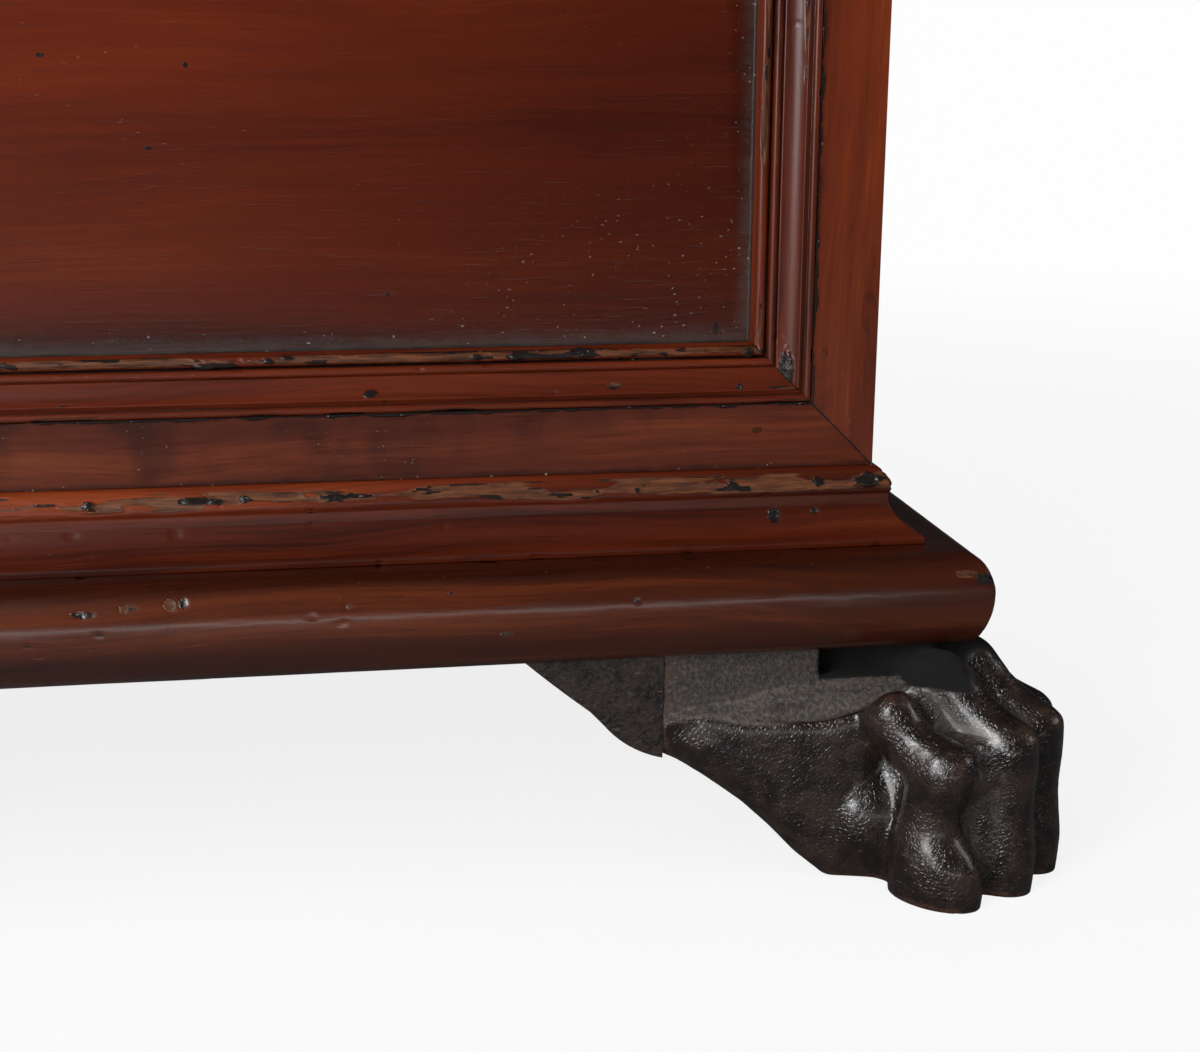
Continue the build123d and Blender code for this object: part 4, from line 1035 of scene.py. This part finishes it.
# ------------------------------------------------------------------ base moulding
# Above the torus a smaller moulding is glued round the foot of the box: a fillet, a
# hollow, a fascia and a bead whose edge has mostly broken away and been waxed black.
base_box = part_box("base_moulding_front")
BASE_BOTTOM = base_box[0].z
BASE_TOP = (base_box[1].z - base_box[0].z) / MM
BASE_OUT = (FRONT_Y - base_box[0].y) / MM
BAND_THICKNESS = (band_box[1].y - band_box[0].y) / MM
FASCIA_OUT = 8.2
FASCIA_TOP = BASE_TOP - 14.5
FASCIA_FOOT = FASCIA_TOP - 6.0
FILLET_TOP = 3.5
HOLLOW_FOOT = (BASE_OUT - 1.5, 4.5)
BEAD_BULGE = 1.2
bead_nose = FASCIA_OUT + BEAD_BULGE
base_face = trace(
    (BASE_OUT, 0),
    [
        (BASE_OUT, FILLET_TOP),
        HOLLOW_FOOT,
        (((HOLLOW_FOOT[0] + FASCIA_OUT) / 2 - 2, (HOLLOW_FOOT[1] + FASCIA_FOOT) / 2 - 1),
         (FASCIA_OUT, FASCIA_FOOT)),
        (FASCIA_OUT, FASCIA_TOP),
        ((bead_nose, FASCIA_TOP + 4.35), (bead_nose - 2.16, FASCIA_TOP + 9)),
        ((bead_nose - 4.56, FASCIA_TOP + 12.2), (2, BASE_TOP)),
    ],
    0.85,
)


def base_wear(out, up):
    """The bead is broken nearly all along; the fascia's foot and the fillet are only rubbed."""
    bead = ease(FASCIA_TOP + 1, FASCIA_TOP + 3.5, up) * (1 - ease(BASE_TOP - 2.5, BASE_TOP - 1, up))
    return 0.7 * bead + 0.15 * ease(BASE_OUT - 1.5, BASE_OUT, out)


def base_soil(along, _out, up):
    """Darker on the fascia towards the corner, partly grime and partly painted shade where the key lamp's
    light falls off, and painted shade at the fascia's foot.
    """
    corner = 0.42 * ease(1230, 1440, along)
    return np.maximum(corner, 0.45 * (1 - ease(FASCIA_FOOT, FASCIA_FOOT + 4, up)) * ease(5, 9, up))


BASE_SPOTS = {
    "broken": ((1432, 32, 40, 3), (1370, 33, 40, 3), (1178, 34, 24, 2.5), (1052, 33, 16, 2)),
    "lumps": ((1397, 34, 3, 2.4), (1447, 34, 3.2, 3), (1476, 34, 8, 4), (1343, 33, 1.6, 1.4),
              (1107, 34.5, 14, 1.8), (1129, 35, 2.4, 2), (1048, 34, 3, 2.4), (1177, 34.5, 10, 1.2)),
    "pits": ((1421, 16, 4, 4), (1444, 18, 2, 2)),
}
three_sides("base_moulding", base_face, [(-BAND_THICKNESS, BASE_TOP), (-BAND_THICKNESS, 0)],
            [(0, BASE_TOP), (0, 0)], BASE_BOTTOM, 211, base_wear, 1.3, red_x, red_y, BASE_SPOTS,
            waviness=0.3, wax_in_chips=0.2, soil=base_soil)

# ------------------------------------------------------------------ dovetailed box
# Four walnut boards, dovetailed at the corners. The front board is also the field inside
# the front's frame, polished dark red, with dust and darkening along its edges, and darker towards the
# right, partly as painted shade.
FIELD_HALF = 0.670
FIELD_LOW = 0.295
FIELD_HIGH = 0.529


def spots_on(tree, axes, spots):
    """Small ovals on the front, each given by x, z and its half sizes in metres."""
    share = 0.0
    for x, z, half_x, half_z in spots:
        off_x = calc(tree, "DIVIDE", calc(tree, "SUBTRACT", axes.outputs[0], x), half_x)
        off_z = calc(tree, "DIVIDE", calc(tree, "SUBTRACT", axes.outputs[2], z), half_z)
        off = calc(tree, "ADD", calc(tree, "POWER", off_x, 2.0), calc(tree, "POWER", off_z, 2.0))
        share = calc(tree, "MAXIMUM", spread(tree, off, 0.5, 1.2, 1.0, 0.0), share)
    return share


def field_grime_and_shade(tree):
    """Wax and dust along the field's edges, from Object coordinates, and darkening: along the edges,
    towards the bottom, and towards the right, where it is partly painted shade as the key lamp's light
    falls off.
    """
    where = place_on(tree)
    axes = put(tree, "SeparateXYZ", {0: where})
    beside = calc(tree, "SUBTRACT", FIELD_HALF, calc(tree, "ABSOLUTE", axes.outputs[0]))
    above = calc(tree, "SUBTRACT", axes.outputs[2], FIELD_LOW)
    below = calc(tree, "SUBTRACT", FIELD_HIGH, axes.outputs[2])
    near = calc(tree, "MINIMUM", beside, calc(tree, "MINIMUM", above, below))
    patchy = clouds(tree, where, 70.0, (1, 1, 1), 5.0, 0.7, (3, 3, 3))
    ragged = sway(tree, patchy, 0.012, near)
    edge_darkening = spread(tree, ragged, 0.0, 0.035, 0.8, 0.0)
    # Darker towards the right, partly painted shade where the key lamp's light falls off, and darker
    # towards the bottom.
    darker_right_and_low = calc(tree, "ADD", spread(tree, axes.outputs[0], 0.32, 0.66, 0.0, 0.44),
                   spread(tree, above, 0.0, 0.14, 0.32, 0.0))
    edge_darkening = calc(tree, "MAXIMUM", edge_darkening, darker_right_and_low)
    line = spread(tree, near, 0.0, 0.0022, 1.0, 0.0)
    drip = spots_on(tree, axes, ((0.6505, 0.303, 0.0016, 0.004), (0.3697, 0.4439, 0.0014, 0.0014),
                                 (0.3486, 0.4023, 0.002, 0.001), (0.298, 0.4486, 0.0022, 0.0012),
                                 (0.4696, 0.3243, 0.0012, 0.0012)))
    dust = spread(tree, ragged, -0.002, 0.011, 0.32, 0.0)
    return calc(tree, "MAXIMUM", drip, line), dust, edge_darkening


FIELD_RED = ((0.046, 0.0062, 0.0022, 1), (0.078, 0.0108, 0.0034, 1), (0.115, 0.0185, 0.005, 1))
field_red = finish_material("field_walnut", "x", FIELD_RED, (4.2, 0, 1.1), figure=0.8,
                            roughness=0.19, extra=field_grime_and_shade, bare_inside=True)
end_red = finish_material("end_walnut", "y", CASSONE_RED, (1.7, 3.3, 0.8), bare_inside=True)
dress(nodes["front_board"], field_red)
dress(nodes["end_left"], end_red)
dress(nodes["end_right"], end_red)
dress(nodes["back_board"], dry_x)

# ------------------------------------------------------------------ band of the front frame
# A flat frame of orange-red walnut is mitred round the front. Its rails run lengthwise
# and its stiles upright, and the stiles are darkened by hands. Painted shade darkens the band towards its
# foot.
BAND_WIDTH = 37.0
RIM_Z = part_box("band_top")[1].z
BAND_BOTTOM_Z = band_box[0].z


def band_grime_and_shade(tree):
    """Darker along the band's inner edge and foot, dark lines at its inner edge and mitres, dark patches
    left by hands, and painted shade towards its foot.
    """
    where = place_on(tree)
    axes = put(tree, "SeparateXYZ", {0: where})
    beside = calc(tree, "SUBTRACT", HALF_LENGTH, calc(tree, "ABSOLUTE", axes.outputs[0]))
    above = calc(tree, "SUBTRACT", axes.outputs[2], BAND_BOTTOM_Z)
    below = calc(tree, "SUBTRACT", RIM_Z, axes.outputs[2])
    upright = calc(tree, "MINIMUM", above, below)
    rim = calc(tree, "MINIMUM", beside, upright)
    patchy = clouds(tree, where, 60.0, (1, 1, 1), 4.0, 0.65, (3, 8, 3))
    ragged = calc(tree, "MULTIPLY", calc(tree, "SUBTRACT", patchy, 0.5), 0.006)
    inner = calc(tree, "ADD", calc(tree, "SUBTRACT", BAND_WIDTH * MM, rim), ragged)
    foot = calc(tree, "ADD", above, ragged)
    edges = calc(tree, "MAXIMUM", spread(tree, inner, 0.0, 0.004, 0.85, 0.0),
                 spread(tree, foot, 0.0, 0.006, 0.85, 0.0))
    touched = clouds(tree, where, 17.0, (1, 1, 0.6), 3.0, 0.5, (2, 2, 9))
    hands_and_low_shade = spread(tree, touched, 0.55, 0.72, 0.0, 0.5)
    # Painted shade: darker towards the band's foot, where less light falls.
    hands_and_low_shade = calc(tree, "ADD", hands_and_low_shade, spread(tree, above, 0.03, 0.26, 0.3, 0.0))
    stains = spots_on(tree, axes, ((0.7345, 0.312, 0.005, 0.014), (0.710, 0.269, 0.007, 0.015)))
    stains = calc(tree, "MULTIPLY", stains, spread(tree, patchy, 0.3, 0.7, 0.2, 0.75))
    dark = calc(tree, "MAXIMUM", edges, calc(tree, "MAXIMUM", hands_and_low_shade, stains))
    off_mitre = calc(tree, "ABSOLUTE", calc(tree, "SUBTRACT", beside, upright))
    mitre = spread(tree, off_mitre, 0.0004, 0.0011, 0.7, 0.0)
    line = calc(tree, "MAXIMUM", spread(tree, inner, 0.0002, 0.0016, 1.0, 0.0), mitre)
    drops = spots_on(tree, axes, ((0.3551, 0.2605, 0.005, 0.003), (0.7097, 0.2903, 0.0022, 0.004),
                                  (0.6723, 0.2471, 0.0034, 0.0022)))
    return calc(tree, "MAXIMUM", line, calc(tree, "MULTIPLY", drops, 0.4)), 0.0, dark


BAND_RED = ((0.03, 0.0044, 0.0014, 1), (0.08, 0.0122, 0.0026, 1), (0.155, 0.03, 0.0052, 1))
STILE_RED = ((0.038, 0.0054, 0.0018, 1), (0.108, 0.0165, 0.0038, 1), (0.2, 0.04, 0.0075, 1))
band_x = finish_material("band_rail_walnut", "x", BAND_RED, (1.3, 2.2, 0.4), roughness=0.3,
                         extra=band_grime_and_shade, specular=0.2)
band_z = finish_material("band_stile_walnut", "z", STILE_RED, (0.3, 5.2, 2.4), roughness=0.32,
                         extra=band_grime_and_shade, specular=0.25)
for side in ("bottom", "top"):
    dress(nodes[f"band_{side}"], band_x)
for side in ("left", "right"):
    dress(nodes[f"band_{side}"], band_z)

# ------------------------------------------------------------------ field moulding
# Between band and field runs a planed moulding: a bead, an arris, a wide hollow and two
# inner beads. The inner bead is broken along the bottom, and black wax fills its breaks.
FIELD_MOULDING_WIDTH = 33.0
QUIRK = BAND_THICKNESS - 3.0
OUTER_BEAD = (BAND_THICKNESS - 1.5, 4.4)
ARRIS = (BAND_THICKNESS + 1.5, 8.0)
HOLLOW_END = (9.2, 19.4)
MIDDLE_LEVEL = 7.5
INNER_LEVEL = 4.5
EDGE_LEVEL = 2.0
field_face = trace(
    (QUIRK, 0),
    [
        (QUIRK, 1.0),
        ((OUTER_BEAD[0] + 2.3, 2.7), OUTER_BEAD),
        ARRIS,
        (((ARRIS[0] + HOLLOW_END[0]) / 2 - 1.2, (ARRIS[1] + HOLLOW_END[1]) / 2 - 1.2), HOLLOW_END),
        (MIDDLE_LEVEL, 20.2),
        ((MIDDLE_LEVEL + 2.8, 22.4), (MIDDLE_LEVEL, 24.6)),
        (INNER_LEVEL, 24.6),
        (INNER_LEVEL, 26.0),
        ((INNER_LEVEL + 4.0, 28.8), (INNER_LEVEL, 31.6)),
        (EDGE_LEVEL, FIELD_MOULDING_WIDTH),
    ],
    0.8,
)


def field_wear_of(inner):
    """How a member of the field moulding is worn: the inner bead by a share of its own."""

    def wear(out, inwards):
        outer_bead = 0.34 * (1 - ease(4, 5.5, inwards)) * ease(QUIRK, QUIRK + 1.5, out)
        arris = 0.42 * ease(6.4, 7.4, inwards) * (1 - ease(9, 10.5, inwards))
        middle = 0.3 * ease(20.6, 21.6, inwards) * (1 - ease(24, 25, inwards))
        bead = inner * ease(26.2, 27.2, inwards) * (1 - ease(31.4, 32.2, inwards))
        return outer_bead + arris + middle + bead

    return wear


inset = BAND_WIDTH * MM
board_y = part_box("front_board")[0].y
low, high = BAND_BOTTOM_Z + inset, RIM_Z - inset
reach = HALF_LENGTH - inset
BOTTOM_SPOTS = {
    "broken": ((1290, 29, 80, 2.6), (1150, 29, 60, 2.6), (1040, 29, 50, 2.4), (1294, 12, 4, 1.6)),
    "lumps": ((1219, 28.5, 3, 2), (1240, 28, 4, 1.6), (1277, 30.5, 9, 1.4), (1371, 28, 3, 2.4),
              (1080, 27, 13, 1.4), (1108, 29, 3.4, 1.6), (1118, 30.5, 3.4, 1.3), (1161, 10.5, 3.6, 2)),
    "pits": ((1365, 10, 2, 1.5), (1294, 11, 1.6, 1.2)),
}
RIGHT_SPOTS = {"lumps": ((16, 14, 14, 4), (12, 28, 20, 2))}
for side, start, along, inwards, length, cuts, crowding, inner, seed, material in (
    ("bottom", (-reach, low), EAST, UPWARD, 2 * reach, 1000, 0.5, 0.95, 307, red_x),
    ("top", (-reach, high), EAST, -UPWARD, 2 * reach, 700, 0.3, 0.5, 331, red_x),
    ("left", (-reach, low), UPWARD, EAST, high - low, 300, -0.2, 0.55, 353, red_z),
    ("right", (reach, low), UPWARD, -EAST, high - low, 360, -0.2, 0.62, 379, red_z),
):
    title = f"worn_field_moulding_{side}"
    member = strip_mesh(title, field_face, [(0, FIELD_MOULDING_WIDTH), (0, 0)], cuts)
    stretch(member, length, 2, 1, -1, crowding)
    spots = {"bottom": BOTTOM_SPOTS, "right": RIGHT_SPOTS}.get(side, {})
    wear_strip(member, seed, field_wear_of(inner), 1.2, waviness=0.25, wax_in_chips=0.45, **spots)
    set_in_place(member, (start[0], board_y, start[1]), along, -NORTH, inwards)
    show_piece(title, member, "chest", [f"field_moulding_{side}"], material)

# ------------------------------------------------------------------ lid
# Two long walnut boards, edge to edge, with a moulding of nose, step and hollow mitred
# round the front and ends. It is waxed like the front but duller, and bare underneath.
lid_red = finish_material("lid_walnut", "x", BAND_RED, (3.1, 0.6, 1.9), roughness=0.36,
                          bare_inside=True)
for name in ("lid_board_front", "lid_board_rear", "lid_moulding_front"):
    dress(nodes[name], lid_red)
for name in ("lid_moulding_left", "lid_moulding_right"):
    dress(nodes[name], red_y)

# ------------------------------------------------------------------ ironwork
# Hinges, their pins, the lock, its bolt and staple and all the nails are forged iron, gone
# dark brown with age. The hinge leaves are nailed to the back, and the straps to the lid.


def make_old_iron():
    """Forged iron: nearly black, hammered, with brown rust in patches."""
    material, tree, shader = start_material("old_iron")
    where = place_on(tree)
    patches = clouds(tree, where, 60.0, (1, 1, 1), 5.0, 0.65)
    rust = spread(tree, patches, 0.48, 0.7)
    colour = tint(tree, rust, (0.03, 0.027, 0.025, 1), (0.075, 0.032, 0.014, 1))
    roughness = spread(tree, patches, 0.4, 0.7, 0.38, 0.8)
    metallic = calc(tree, "MULTIPLY_ADD", rust, -0.85, 0.95)
    hammered = relief(tree, clouds(tree, where, 110.0, (1, 1, 1), 2.0, 0.5, (8, 2, 5)), 0.0012, 0.7)
    wire(tree, shader.inputs, {"Base Color": colour, "Roughness": roughness, "Metallic": metallic,
                               "Normal": hammered})
    return material


old_iron = make_old_iron()
for name, piece in nodes.items():
    if name.startswith(("hinge", "lock", "nails", "lid_staple")):
        dress(piece, old_iron)
